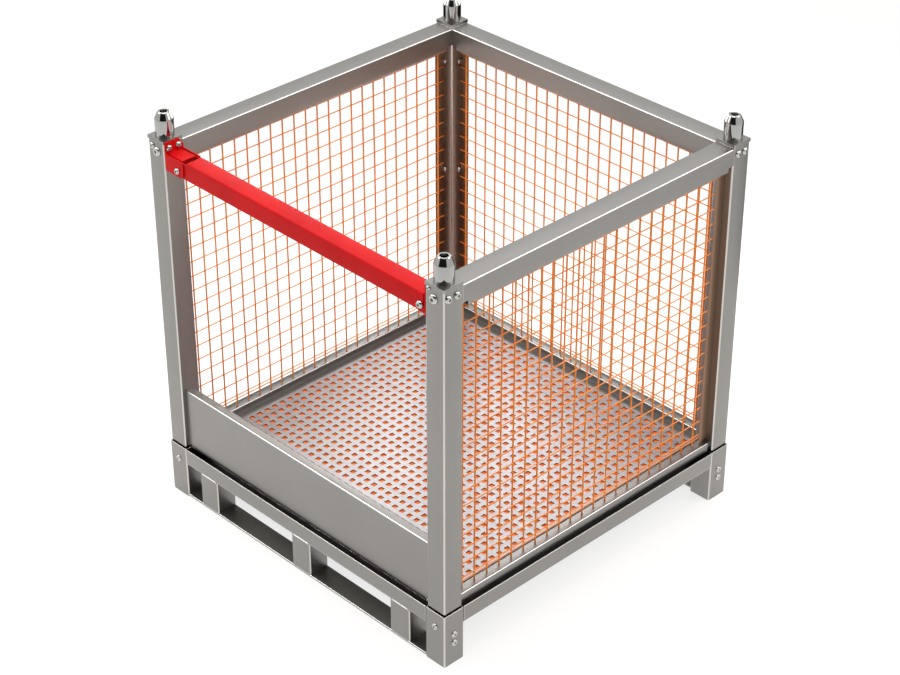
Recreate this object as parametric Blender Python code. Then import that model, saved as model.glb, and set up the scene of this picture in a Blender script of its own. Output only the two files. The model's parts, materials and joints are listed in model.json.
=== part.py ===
# Stillage cage: a mesh-sided steel cage on a base with fork pockets, with a red lift-up bar.
# Units are metres. X runs to the right, Y to the rear, Z up; the origin is on the ground, mid base.

import math

import bmesh
import bpy
from mathutils import Matrix, Vector

# Overall sizes, measured over the outer faces of the posts and up to the cap tops
CAGE_WIDTH = 1.050
CAGE_DEPTH = 1.050
CAP_TOP = 1.070
FIT = 0.0003

# Base frame
BASE_HEIGHT = 0.155
FOOT_PROUD = 0.003
FOOT_WALL = 0.003
FOOT_RADIUS = 0.004
FOOT_BOLT = 0.009
FOOT_BOLT_LEVELS = (0.061, 0.087)
FOOT_FRONT_BOLT_LEVEL = 0.105
BEAM_DEPTH = 0.060
BEAM_HEIGHT = 0.048
BEAM_WALL = 0.003
SPACER_WIDTH = 0.070
SPACER_WALL = 0.003
SMALL_WINDOW = 0.057
SKID_THICKNESS = 0.006
SKID_LIFT = 0.004
BEARER_SIZE = 0.040
BEARER_WALL = 0.003
BEARER_PITCH = 0.260
SPIGOT_LENGTH = 0.060
SPIGOT_RECESS = 0.006
SPIGOT_NECK = 0.044
SHADOW_GAP = 0.006

# Posts, caps and stacking pins
POST_SIZE = 0.060
POST_WALL = 0.003
POST_RADIUS = 0.004
POST_FLOOR = 0.005
CAP_THICKNESS = 0.008
CAP_BEVEL = 0.0015
PIN_DIAMETER = 0.0485
PIN_HEIGHT = 0.065
PIN_CONE = 0.0175
PIN_TOP_DIAMETER = 0.030
PIN_EDGE = 0.002
PIN_BORE = 0.013
PIN_BORE_DEPTH = 0.030
PIN_STEM = 0.020
PIN_STEM_LENGTH = 0.022

# Rails of the cage
TOP_RAIL_DROP = 0.010
TOP_RAIL_SIZE = 0.060
TOP_RAIL_WALL = 0.003
TOP_RAIL_RADIUS = 0.003
TOP_RELIEF_LENGTH = 0.016
TOP_RELIEF_HEIGHT = 0.013
LOWER_RAIL_LIFT = 0.001
LOWER_RAIL_HEIGHT = 0.028
LOWER_RAIL_WIDTH = 0.030
LOWER_RAIL_SETBACK = 0.010
LOWER_RAIL_WALL = 0.002
LOWER_RAIL_RADIUS = 0.002
LOWER_RELIEF_LENGTH = 0.006
LOWER_RELIEF_HEIGHT = 0.014

# Front kickplate
KICK_SETBACK = 0.012
KICK_HEIGHT = 0.178
KICK_SHEET = 0.003
KICK_TOP_FLANGE = 0.026
KICK_LIP = 0.010
KICK_BOTTOM_FLANGE = 0.030
KICK_RELIEF_LENGTH = 0.022
KICK_RELIEF_HEIGHT = 0.009

# Floor
TRAY_SHEET = 0.0025
UNDERLAY_SHEET = 0.002
UNDERLAY_MARGIN = 0.012
FLOOR_SHEET = 0.003
FLOOR_POST_GAP = 0.001
HOLE_PITCH = 0.0777
HOLE_SIZE = 0.033
HOLE_MARGIN = 0.025

# Welded wire panels
WIRE = 0.004
WIRE_PITCH = 0.080
WIRE_ROW_PITCH = 0.084
WIRE_MARGIN = 0.024

# Lift-up bar, its hinge bracket on the left post and its rest bracket on the right post
BAR_SIZE = 0.050
BAR_WALL = 0.003
BAR_RADIUS = 0.003
BAR_BOLT_HEIGHT = 0.0175
BAR_TAIL = 0.014
BAR_HEAD_LENGTH = 0.034
BAR_LUG_RADIUS = 0.026
BAR_LUG_LIP = 0.004
BAR_END_GAP = 0.012
PIVOT_FROM_POST = 0.048
PIVOT_BELOW_CAP = 0.0625
REST_FROM_POST = 0.022
REST_DROP = 0.010
REST_SLOT_PLAY = 0.0009
BRACKET_SHEET = 0.003
BRACKET_SIDE_GAP = 0.0006
BRACKET_BEND = 0.001
PLATE_TOP_BELOW_CAP = 0.003
PLATE_CHAMFER_WIDTH = 0.013
PLATE_CHAMFER_HEIGHT = 0.021
CHEEK_ABOVE_PIVOT = 0.030
CHEEK_BELOW_PIVOT = 0.0155
CHEEK_PAST_PIVOT = 0.023
CHEEK_RADIUS = 0.012
TONGUE_GAP = 0.0005
TONGUE_PAST_PIVOT = 0.013
REST_PLATE_TOP_BELOW_CAP = 0.010
EAR_ABOVE_BOLT = 0.013
EAR_BELOW_BOLT = 0.022
EAR_PAST_BOLT = 0.012
EAR_RADIUS = 0.010
REST_MOUTH_PLAY = 0.004
PIVOT_BOLT = 0.010
REST_BOLT = 0.012
PLATE_BOLT = 0.010
PLATE_BOLT_PLACES = (-0.0155, 0.013)
PLATE_BOLT_BELOW_CAP = 0.020

# Nut height and the bolt's end beyond its nut, as shares of the bolt's diameter
NUT_HEIGHT = 0.8
BOLT_END = 0.3

# Sizes that follow from the ones above
HALF_X = CAGE_WIDTH / 2
HALF_Y = CAGE_DEPTH / 2
FOOT_SIZE = POST_SIZE + 2 * FOOT_PROUD
POST_BOTTOM = BASE_HEIGHT + SHADOW_GAP
POST_TOP = CAP_TOP - CAP_THICKNESS - FIT
RAIL_TOP = CAP_TOP - TOP_RAIL_DROP
RAIL_BOTTOM = RAIL_TOP - TOP_RAIL_SIZE
LOWER_RAIL_TOP = BASE_HEIGHT + LOWER_RAIL_LIFT + LOWER_RAIL_HEIGHT
TRAY_TOP = BASE_HEIGHT + FIT + TRAY_SHEET
FLOOR_BOTTOM = TRAY_TOP + FIT + UNDERLAY_SHEET + FIT
WINDOW_BOTTOM = SKID_LIFT + SKID_THICKNESS
WINDOW_TOP = BASE_HEIGHT - BEAM_HEIGHT
POST_X = HALF_X - POST_SIZE / 2
POST_Y = HALF_Y - POST_SIZE / 2
PIVOT = Vector((-HALF_X + POST_SIZE + PIVOT_FROM_POST, -POST_Y, CAP_TOP - PIVOT_BELOW_CAP))
REST = Vector((HALF_X - POST_SIZE - REST_FROM_POST, -POST_Y, PIVOT.z - REST_DROP))
BAR_ANGLE = math.atan2(REST_DROP, REST.x - PIVOT.x)
BAR_SPAN = math.hypot(REST_DROP, REST.x - PIVOT.x)
CHEEK_GAP = BAR_SIZE / 2 + BRACKET_SIDE_GAP
EAR_FACE = BAR_SIZE / 2 - BAR_WALL - BRACKET_SIDE_GAP

CORNERS = {
    "front_left": (-1, -1),
    "front_right": (1, -1),
    "rear_left": (-1, 1),
    "rear_right": (1, 1),
}

# Colour, metallic and roughness of each finish
FINISHES = {
    "steel": ((0.42, 0.41, 0.39, 1.0), 1.0, 0.42),
    "chrome": ((0.72, 0.72, 0.70, 1.0), 1.0, 0.10),
    "red_paint": ((0.75, 0.03, 0.03, 1.0), 0.0, 0.35),
    "orange_coating": ((0.90, 0.24, 0.05, 1.0), 0.0, 0.45),
    "dark_steel": ((0.05, 0.05, 0.05, 1.0), 0.4, 0.60),
    "zinc": ((0.62, 0.62, 0.60, 1.0), 1.0, 0.28),
}


def clear_scene():
    for item in list(bpy.data.objects):
        bpy.data.objects.remove(item, do_unlink=True)


def finish_material(name, finish):
    colour, metallic, roughness = FINISHES[finish]
    material = bpy.data.materials.new(name + "_" + finish)
    material.use_nodes = True
    shader = material.node_tree.nodes["Principled BSDF"]
    shader.inputs["Base Color"].default_value = colour
    shader.inputs["Metallic"].default_value = metallic
    shader.inputs["Roughness"].default_value = roughness
    material.diffuse_color = colour
    return material


def add_object(name, bm, finish, location=(0, 0, 0), turn=0.0, smooth=False):
    """Closes the mesh outwards and puts it in the scene, turned about Z if asked."""
    bmesh.ops.recalc_face_normals(bm, faces=bm.faces)
    mesh = bpy.data.meshes.new(name)
    bm.to_mesh(mesh)
    bm.free()
    item = bpy.data.objects.new(name, mesh)
    item.location = location
    item.rotation_euler = (0, 0, turn)
    mesh.materials.append(finish_material(name, finish))
    if smooth:
        mesh.shade_smooth()
        mesh.set_sharp_from_angle(angle=math.radians(35))
    bpy.context.scene.collection.objects.link(item)
    return item


def add_cutter(name, bm, target, operation="DIFFERENCE"):
    """Gives the target a boolean with this shape, which stays out of the model itself."""
    bmesh.ops.recalc_face_normals(bm, faces=bm.faces)
    mesh = bpy.data.meshes.new(name)
    bm.to_mesh(mesh)
    bm.free()
    tool = bpy.data.objects.new(name, mesh)
    tool.parent = target
    tool.hide_render = True
    tool.display_type = "WIRE"
    bpy.context.scene.collection.objects.link(tool)
    modifier = target.modifiers.new(name, "BOOLEAN")
    modifier.operation = operation
    modifier.solver = "EXACT"
    modifier.object = tool


def rounded_outline(corners, radius, steps=2):
    """Points of a closed outline whose listed corners are rounded; radius is one value or a list."""
    count = len(corners)
    radii = radius if isinstance(radius, (list, tuple)) else [radius] * count
    points = []
    for index, corner in enumerate(corners):
        here = Vector(corner)
        if radii[index] <= 0:
            points.append(here)
            continue
        back = (Vector(corners[index - 1]) - here).normalized()
        ahead = (Vector(corners[(index + 1) % count]) - here).normalized()
        half_angle = back.angle(ahead) / 2
        reach = radii[index] / math.tan(half_angle)
        centre = here + (back + ahead).normalized() * (radii[index] / math.sin(half_angle))
        start = here + back * reach - centre
        sweep = start.angle_signed(here + ahead * reach - centre)
        for step in range(steps + 1):
            angle = -sweep * step / steps
            turned = Matrix.Rotation(angle, 2) @ start
            points.append(centre + turned)
    return points


def rectangle(width, height):
    return [(-width / 2, -height / 2), (width / 2, -height / 2),
            (width / 2, height / 2), (-width / 2, height / 2)]


def extrude_outline(outline, low, high, axes=("x", "y", "z")):
    """Solid between two planes: the outline lies in the first two axes, the third is the length."""
    order = ["xyz".index(axis) for axis in axes]
    bm = bmesh.new()
    corners = []
    for point in outline:
        place = [0.0, 0.0, 0.0]
        place[order[0]], place[order[1]], place[order[2]] = point[0], point[1], low
        corners.append(bm.verts.new(place))
    face = bm.faces.new(corners)
    grown = bmesh.ops.extrude_face_region(bm, geom=[face])
    shift = Vector((0, 0, 0))
    shift[order[2]] = high - low
    bmesh.ops.translate(bm, vec=shift, verts=[v for v in grown["geom"] if isinstance(v, bmesh.types.BMVert)])
    return bm


def tube_mesh(outer, inner, low, high, axes=("x", "y", "z"), floor=0.0):
    """Open tube between two like outlines; a floor closes its low end."""
    order = ["xyz".index(axis) for axis in axes]
    bm = bmesh.new()

    def ring(outline, level):
        made = []
        for point in outline:
            place = [0.0, 0.0, 0.0]
            place[order[0]], place[order[1]], place[order[2]] = point[0], point[1], level
            made.append(bm.verts.new(place))
        return made

    outside = [ring(outer, low), ring(outer, high)]
    inside = [ring(inner, low + floor), ring(inner, high)]
    count = len(outer)
    for index in range(count):
        after = (index + 1) % count
        bm.faces.new((outside[0][index], outside[0][after], outside[1][after], outside[1][index]))
        bm.faces.new((inside[0][after], inside[0][index], inside[1][index], inside[1][after]))
        bm.faces.new((outside[1][index], outside[1][after], inside[1][after], inside[1][index]))
        if floor == 0:
            bm.faces.new((outside[0][after], outside[0][index], inside[0][index], inside[0][after]))
    if floor > 0:
        bm.faces.new(outside[0])
        bm.faces.new(inside[0])
    return bm


def square_tube(width, height, wall, radius, low, high, axes=("x", "y", "z"), floor=0.0, steps=2):
    outer = rounded_outline(rectangle(width, height), radius, steps)
    inner_radius = max(radius - wall, 0.0008)
    inner = rounded_outline(rectangle(width - 2 * wall, height - 2 * wall), inner_radius, steps)
    return tube_mesh(outer, inner, low, high, axes, floor)


def box_mesh(low, high):
    bm = bmesh.new()
    size = Vector(high) - Vector(low)
    place = Matrix.Translation((Vector(low) + Vector(high)) / 2) @ Matrix.Diagonal((*size, 1))
    bmesh.ops.create_cube(bm, size=1.0, matrix=place)
    return bm


def cylinder_mesh(diameter, low, high, axis, centre=(0, 0, 0), sides=12):
    bm = bmesh.new()
    turn = {"x": Matrix.Rotation(math.pi / 2, 4, "Y"), "y": Matrix.Rotation(math.pi / 2, 4, "X"),
            "z": Matrix.Identity(4)}[axis]
    middle = Vector(centre)
    middle["xyz".index(axis)] += (low + high) / 2
    bmesh.ops.create_cone(bm, cap_ends=True, segments=sides, radius1=diameter / 2, radius2=diameter / 2,
                          depth=high - low, matrix=Matrix.Translation(middle) @ turn)
    return bm


def turned_mesh(profile, sides=16):
    """Solid of revolution about Z from (radius, height) points that start and end on the axis."""
    bm = bmesh.new()
    chain = [bm.verts.new((radius, 0, height)) for radius, height in profile]
    edges = [bm.edges.new(pair) for pair in zip(chain, chain[1:])]
    bmesh.ops.spin(bm, geom=chain + edges, cent=(0, 0, 0), axis=(0, 0, 1), angle=2 * math.pi,
                   steps=sides, use_merge=True, use_duplicate=False)
    bmesh.ops.remove_doubles(bm, verts=bm.verts, dist=0.00001)
    return bm


def grid_lines(span, pitch, margin):
    """Places of evenly pitched lines, centred on a span and at least a margin from its ends."""
    count = int((span - 2 * margin) / pitch + 1e-6)
    start = -count * pitch / 2
    return [start + pitch * step for step in range(count + 1)]


def lattice_mesh(across, up, solid, thickness):
    """Flat plate of cells between grid lines, keeping the cells that the rule calls solid."""
    bm = bmesh.new()
    corners = {}

    def corner(i, j):
        if (i, j) not in corners:
            corners[(i, j)] = bm.verts.new((across[i], -thickness / 2, up[j]))
        return corners[(i, j)]

    for i in range(len(across) - 1):
        for j in range(len(up) - 1):
            if solid(i, j):
                bm.faces.new((corner(i, j), corner(i + 1, j), corner(i + 1, j + 1), corner(i, j + 1)))
    grown = bmesh.ops.extrude_face_region(bm, geom=list(bm.faces))
    moved = [v for v in grown["geom"] if isinstance(v, bmesh.types.BMVert)]
    bmesh.ops.translate(bm, vec=(0, thickness, 0), verts=moved)
    return bm


def banded_lines(centres, width, low, high):
    """Both edges of a strip at each centre, between the two ends of the plate."""
    edges = [low]
    for centre in centres:
        edges += [centre - width / 2, centre + width / 2]
    return edges + [high]


def head_mesh(diameter, sides=10):
    """Low button head along +Z that starts a little below its seat, ready to be fused to a wall."""
    rim = diameter * 0.875
    height = diameter * 0.5
    return turned_mesh([(0, -FOOT_WALL / 2), (rim, -FOOT_WALL / 2), (rim, height * 0.3),
                        (rim * 0.6, height * 0.9), (0, height)], sides)


def make_feet():
    """Square tubes open at both ends, with the heads of the bolts that hold the spigots fused on."""
    for place, (side, end) in CORNERS.items():
        bm = square_tube(FOOT_SIZE, FOOT_SIZE, FOOT_WALL, FOOT_RADIUS, 0, BASE_HEIGHT)
        foot = add_object("foot_" + place, bm, "steel", (side * POST_X, end * POST_Y, 0))
        face = FOOT_SIZE / 2
        sideways = Matrix.Rotation(side * math.pi / 2, 4, "Y")
        lengthways = Matrix.Rotation(-end * math.pi / 2, 4, "X")
        heads = [(sideways, (side * face, 0, level)) for level in FOOT_BOLT_LEVELS]
        heads.append((lengthways, (0, end * face, FOOT_FRONT_BOLT_LEVEL)))
        for number, (turn, spot) in enumerate(heads):
            head = head_mesh(FOOT_BOLT)
            bmesh.ops.transform(head, matrix=Matrix.Translation(spot) @ turn, verts=head.verts)
            add_cutter(f"foot_bolt_{place}_{number}", head, foot, "UNION")


def make_spigots():
    """Block inside each foot with a neck that carries the post and leaves a shadow gap."""
    body = FOOT_SIZE - 2 * FOOT_WALL - 2 * FIT
    top = BASE_HEIGHT - SPIGOT_RECESS
    for place, (side, end) in CORNERS.items():
        bm = extrude_outline(rounded_outline(rectangle(body, body), FOOT_RADIUS), top - SPIGOT_LENGTH, top)
        block = add_object("spigot_" + place, bm, "dark_steel", (side * POST_X, end * POST_Y, 0))
        neck = extrude_outline(rectangle(SPIGOT_NECK, SPIGOT_NECK), top - 0.004, POST_BOTTOM - FIT)
        add_cutter("neck_" + place, neck, block, "UNION")


def channel_outline(depth, height, wall):
    """Open-topped channel section, outer face at -depth/2, bottom at 0."""
    half = depth / 2
    corners = [(-half, 0), (half, 0), (half, height), (half - wall, height),
               (half - wall, wall), (-half + wall, wall), (-half + wall, height), (-half, height)]
    radii = [wall, wall, 0, 0, 0, 0, 0, 0]
    return rounded_outline(corners, radii)


def make_base_beams():
    """Channels between the feet: fork beams in front and behind, side beams left and right."""
    outline = channel_outline(BEAM_DEPTH, BEAM_HEIGHT, BEAM_WALL)
    inset = FOOT_PROUD - BEAM_DEPTH / 2
    reach_x = POST_X - FOOT_SIZE / 2 - FIT
    reach_y = POST_Y - FOOT_SIZE / 2 - FIT
    for end, name in ((-1, "fork_beam_front"), (1, "fork_beam_rear")):
        bm = extrude_outline(outline, -reach_x, reach_x, ("y", "z", "x"))
        add_object(name, bm, "steel", (0, end * (HALF_Y + inset), WINDOW_TOP))
    for side, name in ((-1, "side_beam_left"), (1, "side_beam_right")):
        bm = extrude_outline(outline, -reach_y, reach_y, ("x", "z", "y"))
        add_object(name, bm, "steel", (side * (HALF_X + inset), 0, WINDOW_TOP))


def make_fork_spacers():
    """Short tubes that hold each skid under its fork beam and part the fork windows."""
    reach_x = POST_X - FOOT_SIZE / 2
    offset = reach_x - SMALL_WINDOW - SPACER_WIDTH / 2
    inset = FOOT_PROUD - BEAM_DEPTH / 2
    for end, row in ((-1, "front"), (1, "rear")):
        for place, x in (("left", -offset), ("middle", 0), ("right", offset)):
            bm = square_tube(SPACER_WIDTH, BEAM_DEPTH, SPACER_WALL, SPACER_WALL,
                             WINDOW_BOTTOM + FIT, WINDOW_TOP - FIT, steps=1)
            add_object(f"fork_spacer_{row}_{place}", bm, "steel", (x, end * (HALF_Y + inset), 0))


def make_skids():
    reach_x = POST_X - FOOT_SIZE / 2 - FIT
    inset = FOOT_PROUD - BEAM_DEPTH / 2
    half = BEAM_DEPTH / 2
    edge = 0.001
    outline = rounded_outline([(-half, 0), (half, 0), (half, SKID_THICKNESS), (-half, SKID_THICKNESS)], edge, 1)
    for end, name in ((-1, "skid_front"), (1, "skid_rear")):
        bm = extrude_outline(outline, -reach_x, reach_x, ("y", "z", "x"))
        add_object(name, bm, "steel", (0, end * (HALF_Y + inset), SKID_LIFT))


def make_floor_bearers():
    reach = HALF_X + FOOT_PROUD - BEAM_DEPTH - FIT
    middle = BASE_HEIGHT - BEARER_SIZE / 2
    for place, y in (("front", -BEARER_PITCH), ("middle", 0), ("rear", BEARER_PITCH)):
        bm = square_tube(BEARER_SIZE, BEARER_SIZE, BEARER_WALL, BEARER_WALL, -reach, reach, ("y", "z", "x"),
                         steps=1)
        add_object("floor_bearer_" + place, bm, "steel", (0, y, middle))


def make_posts():
    for place, (side, end) in CORNERS.items():
        bm = square_tube(POST_SIZE, POST_SIZE, POST_WALL, POST_RADIUS, POST_BOTTOM, POST_TOP,
                         floor=POST_FLOOR)
        post = add_object("post_" + place, bm, "steel", (side * POST_X, end * POST_Y, 0))
        if end > 0:
            continue
        for number, offset in enumerate(PLATE_BOLT_PLACES):
            inner_face = -side * POST_SIZE / 2
            low, high = sorted((inner_face - side * 0.004, inner_face + side * (POST_WALL + 0.004)))
            hole = cylinder_mesh(PLATE_BOLT + 2 * FIT, low, high, "x",
                                 (0, offset, CAP_TOP - PLATE_BOLT_BELOW_CAP))
            add_cutter(f"post_hole_{place}_{number}", hole, post)


def make_caps():
    for place, (side, end) in CORNERS.items():
        outline = rounded_outline(rectangle(POST_SIZE, POST_SIZE), POST_RADIUS)
        low = CAP_TOP - CAP_THICKNESS
        bm = extrude_outline(outline, low, CAP_TOP)
        rim = [e for e in bm.edges if all(abs(v.co.z - CAP_TOP) < 1e-6 for v in e.verts)]
        bmesh.ops.bevel(bm, geom=rim, offset=CAP_BEVEL, segments=1, affect="EDGES")
        cap = add_object("cap_" + place, bm, "steel", (side * POST_X, end * POST_Y, 0))
        hole = cylinder_mesh(PIN_STEM + 2 * FIT, low - 0.004, CAP_TOP + 0.004, "z", sides=16)
        add_cutter("cap_hole_" + place, hole, cap)


def pin_profile():
    """Half section of a stacking pin: stem, shoulder, barrel, cone, crown and blind bore."""
    stem, barrel, crown, bore = PIN_STEM / 2, PIN_DIAMETER / 2, PIN_TOP_DIAMETER / 2, PIN_BORE / 2
    seat = CAP_TOP + FIT
    top = CAP_TOP + PIN_HEIGHT
    cone = top - PIN_CONE
    return [(0, seat - PIN_STEM_LENGTH), (stem, seat - PIN_STEM_LENGTH), (stem, seat),
            (barrel - PIN_EDGE, seat), (barrel, seat + PIN_EDGE),
            (barrel, cone), (crown, top - PIN_EDGE), (crown - PIN_EDGE, top),
            (bore + PIN_EDGE / 2, top), (bore, top - PIN_EDGE / 2),
            (bore, top - PIN_BORE_DEPTH), (0, top - PIN_BORE_DEPTH - bore / 2)]


def make_pins():
    for place, (side, end) in CORNERS.items():
        bm = turned_mesh(pin_profile())
        add_object("stacking_pin_" + place, bm, "chrome", (side * POST_X, end * POST_Y, 0), smooth=True)


def notch_ends(rail, name, half_length, length, height, width, axis, level):
    """Cuts the relief out of both lower ends of a rail."""
    for end in (-1, 1):
        low, high = sorted((end * (half_length - length), end * (half_length + 0.01)))
        if axis == "x":
            cutter = box_mesh((low, -width, level - 0.01), (high, width, level + height))
        else:
            cutter = box_mesh((-width, low, level - 0.01), (width, high, level + height))
        add_cutter(f"{name}_relief_{'near' if end < 0 else 'far'}", cutter, rail)


def make_top_rails():
    """Square tubes between the post heads, on the left, rear and right; the front stays open."""
    reach_x = HALF_X - POST_SIZE - FIT
    reach_y = HALF_Y - POST_SIZE - FIT
    half = TOP_RAIL_SIZE / 2
    level = RAIL_TOP - half
    for name, axis, reach, place in (
            ("top_rail_left", "y", reach_y, (-HALF_X + half, 0, level)),
            ("top_rail_right", "y", reach_y, (HALF_X - half, 0, level)),
            ("top_rail_rear", "x", reach_x, (0, HALF_Y - half, level))):
        axes = ("y", "z", "x") if axis == "x" else ("x", "z", "y")
        bm = square_tube(TOP_RAIL_SIZE, TOP_RAIL_SIZE, TOP_RAIL_WALL, TOP_RAIL_RADIUS, -reach, reach, axes)
        rail = add_object(name, bm, "steel", place)
        notch_ends(rail, name, reach, TOP_RELIEF_LENGTH, TOP_RELIEF_HEIGHT, TOP_RAIL_SIZE, axis, -half)


def make_lower_rails():
    """Flat tubes low between the posts, set back from the post faces."""
    reach_x = HALF_X - POST_SIZE - FIT
    reach_y = HALF_Y - POST_SIZE - FIT
    inset = LOWER_RAIL_SETBACK + LOWER_RAIL_WIDTH / 2
    level = LOWER_RAIL_TOP - LOWER_RAIL_HEIGHT / 2
    for name, axis, reach, place in (
            ("lower_rail_left", "y", reach_y, (-HALF_X + inset, 0, level)),
            ("lower_rail_right", "y", reach_y, (HALF_X - inset, 0, level)),
            ("lower_rail_rear", "x", reach_x, (0, HALF_Y - inset, level))):
        axes = ("y", "z", "x") if axis == "x" else ("x", "z", "y")
        bm = square_tube(LOWER_RAIL_WIDTH, LOWER_RAIL_HEIGHT, LOWER_RAIL_WALL, LOWER_RAIL_RADIUS,
                         -reach, reach, axes)
        rail = add_object(name, bm, "steel", place)
        notch_ends(rail, name, reach, LOWER_RELIEF_LENGTH, LOWER_RELIEF_HEIGHT, LOWER_RAIL_WIDTH,
                   axis, -LOWER_RAIL_HEIGHT / 2)


def make_kickplate():
    """Folded sheet across the open front: face, top flange with a lip, and bottom flange."""
    sheet = KICK_SHEET
    face = -HALF_Y + KICK_SETBACK
    low = TRAY_TOP + FIT
    top = low + KICK_HEIGHT
    back = face + KICK_TOP_FLANGE
    foot = face + KICK_BOTTOM_FLANGE
    corners = [(face, low), (foot, low), (foot, low + sheet), (face + sheet, low + sheet),
               (face + sheet, top - sheet), (back - sheet, top - sheet), (back - sheet, top - KICK_LIP),
               (back, top - KICK_LIP), (back, top), (face, top)]
    radii = [sheet, 0, 0, sheet / 3, sheet / 3, sheet / 3, 0, 0, sheet, sheet]
    reach = HALF_X - POST_SIZE - FIT
    bm = extrude_outline(rounded_outline(corners, radii), -reach, reach, ("y", "z", "x"))
    plate = add_object("kickplate", bm, "steel")
    for end in (-1, 1):
        near, far = sorted((end * (reach - KICK_RELIEF_LENGTH), end * (reach + 0.01)))
        cutter = box_mesh((near, face - 0.01, low - 0.01), (far, foot + 0.01, low + KICK_RELIEF_HEIGHT))
        add_cutter(f"kick_relief_{'left' if end < 0 else 'right'}", cutter, plate)


def make_floor_tray():
    """Plain sheet under the floor, notched round the posts and butting the lower rails."""
    rail_face = LOWER_RAIL_SETBACK + LOWER_RAIL_WIDTH + FIT
    right = HALF_X - rail_face
    back = HALF_Y - rail_face
    front = HALF_Y - KICK_SETBACK - KICK_SHEET
    notch_x = HALF_X - POST_SIZE - FIT
    notch_y = HALF_Y - POST_SIZE - FIT
    outline = [(-notch_x, -front), (notch_x, -front), (notch_x, -notch_y), (right, -notch_y),
               (right, notch_y), (notch_x, notch_y), (notch_x, back), (-notch_x, back),
               (-notch_x, notch_y), (-right, notch_y), (-right, -notch_y), (-notch_x, -notch_y)]
    low = BASE_HEIGHT + FIT
    add_object("floor_tray", extrude_outline(outline, low, low + TRAY_SHEET), "steel")


def floor_half(half_size):
    return half_size - POST_SIZE - FLOOR_POST_GAP


def make_underlay():
    """Coated sheet that shows through the floor holes."""
    low = TRAY_TOP + FIT
    wide = 2 * (floor_half(HALF_X) - UNDERLAY_MARGIN)
    deep = 2 * (floor_half(HALF_Y) - UNDERLAY_MARGIN)
    bm = extrude_outline(rectangle(wide, deep), low, low + UNDERLAY_SHEET)
    add_object("floor_underlay", bm, "orange_coating")


def make_floor():
    """Perforated sheet with square holes on a square grid."""
    half_x = floor_half(HALF_X)
    half_y = floor_half(HALF_Y)
    columns = grid_lines(2 * half_x, HOLE_PITCH, HOLE_MARGIN)
    rows = grid_lines(2 * half_y, HOLE_PITCH, HOLE_MARGIN)
    across = banded_lines(columns, HOLE_SIZE, -half_x, half_x)
    along = banded_lines(rows, HOLE_SIZE, -half_y, half_y)
    bm = lattice_mesh(across, along, lambda i, j: i % 2 == 0 or j % 2 == 0, FLOOR_SHEET)
    bmesh.ops.rotate(bm, cent=(0, 0, 0), matrix=Matrix.Rotation(-math.pi / 2, 3, "X"), verts=bm.verts)
    add_object("perforated_floor", bm, "steel", (0, 0, FLOOR_BOTTOM + FLOOR_SHEET / 2))


def panel_mesh(span):
    """Crossed wires whose ends reach the posts, the lower rail and the top rail."""
    low = LOWER_RAIL_TOP + FIT
    high = RAIL_BOTTOM - FIT
    height = high - low
    columns = grid_lines(span, WIRE_PITCH, WIRE_MARGIN)
    rows = [high - height / 2 + y for y in grid_lines(height, WIRE_ROW_PITCH, WIRE_MARGIN)]
    across = banded_lines(columns, WIRE, -span / 2, span / 2)
    up = banded_lines(rows, WIRE, low, high)
    return lattice_mesh(across, up, lambda i, j: i % 2 == 1 or j % 2 == 1, WIRE)


def make_mesh_panels():
    span_x = CAGE_WIDTH - 2 * POST_SIZE - 2 * FIT
    span_y = CAGE_DEPTH - 2 * POST_SIZE - 2 * FIT
    add_object("mesh_panel_left", panel_mesh(span_y), "orange_coating", (-POST_X, 0, 0), math.pi / 2)
    add_object("mesh_panel_right", panel_mesh(span_y), "orange_coating", (POST_X, 0, 0), math.pi / 2)
    add_object("mesh_panel_rear", panel_mesh(span_x), "orange_coating", (0, POST_Y, 0))


def sheet_bracket(name, joint, bolt, plan, side_view, radii, top):
    """Bracket cut from its plan section, then trimmed to its side view and drilled for its bolts."""
    wide = BAR_SIZE
    low = min(point[1] for point in side_view)
    clear = 0.01
    bracket = add_object(name, extrude_outline(plan, low - clear, top + clear), "red_paint", joint)
    side_cut = extrude_outline(rounded_outline(side_view, radii, 4), -wide, wide, ("x", "z", "y"))
    add_cutter(name + "_side_view", side_cut, bracket, "INTERSECT")
    add_cutter(name + "_hole", cylinder_mesh(bolt + 2 * FIT, -wide, wide, "y"), bracket)
    face = math.copysign(HALF_X - POST_SIZE - FIT, joint.x) - joint.x
    for number, offset in enumerate(PLATE_BOLT_PLACES):
        through = cylinder_mesh(PLATE_BOLT + 2 * FIT, face - 2 * BRACKET_SHEET, face + 2 * BRACKET_SHEET, "x",
                                (0, offset, CAP_TOP - PLATE_BOLT_BELOW_CAP - joint.z))
        add_cutter(f"{name}_plate_hole_{number}", through, bracket)
    return bracket


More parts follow.
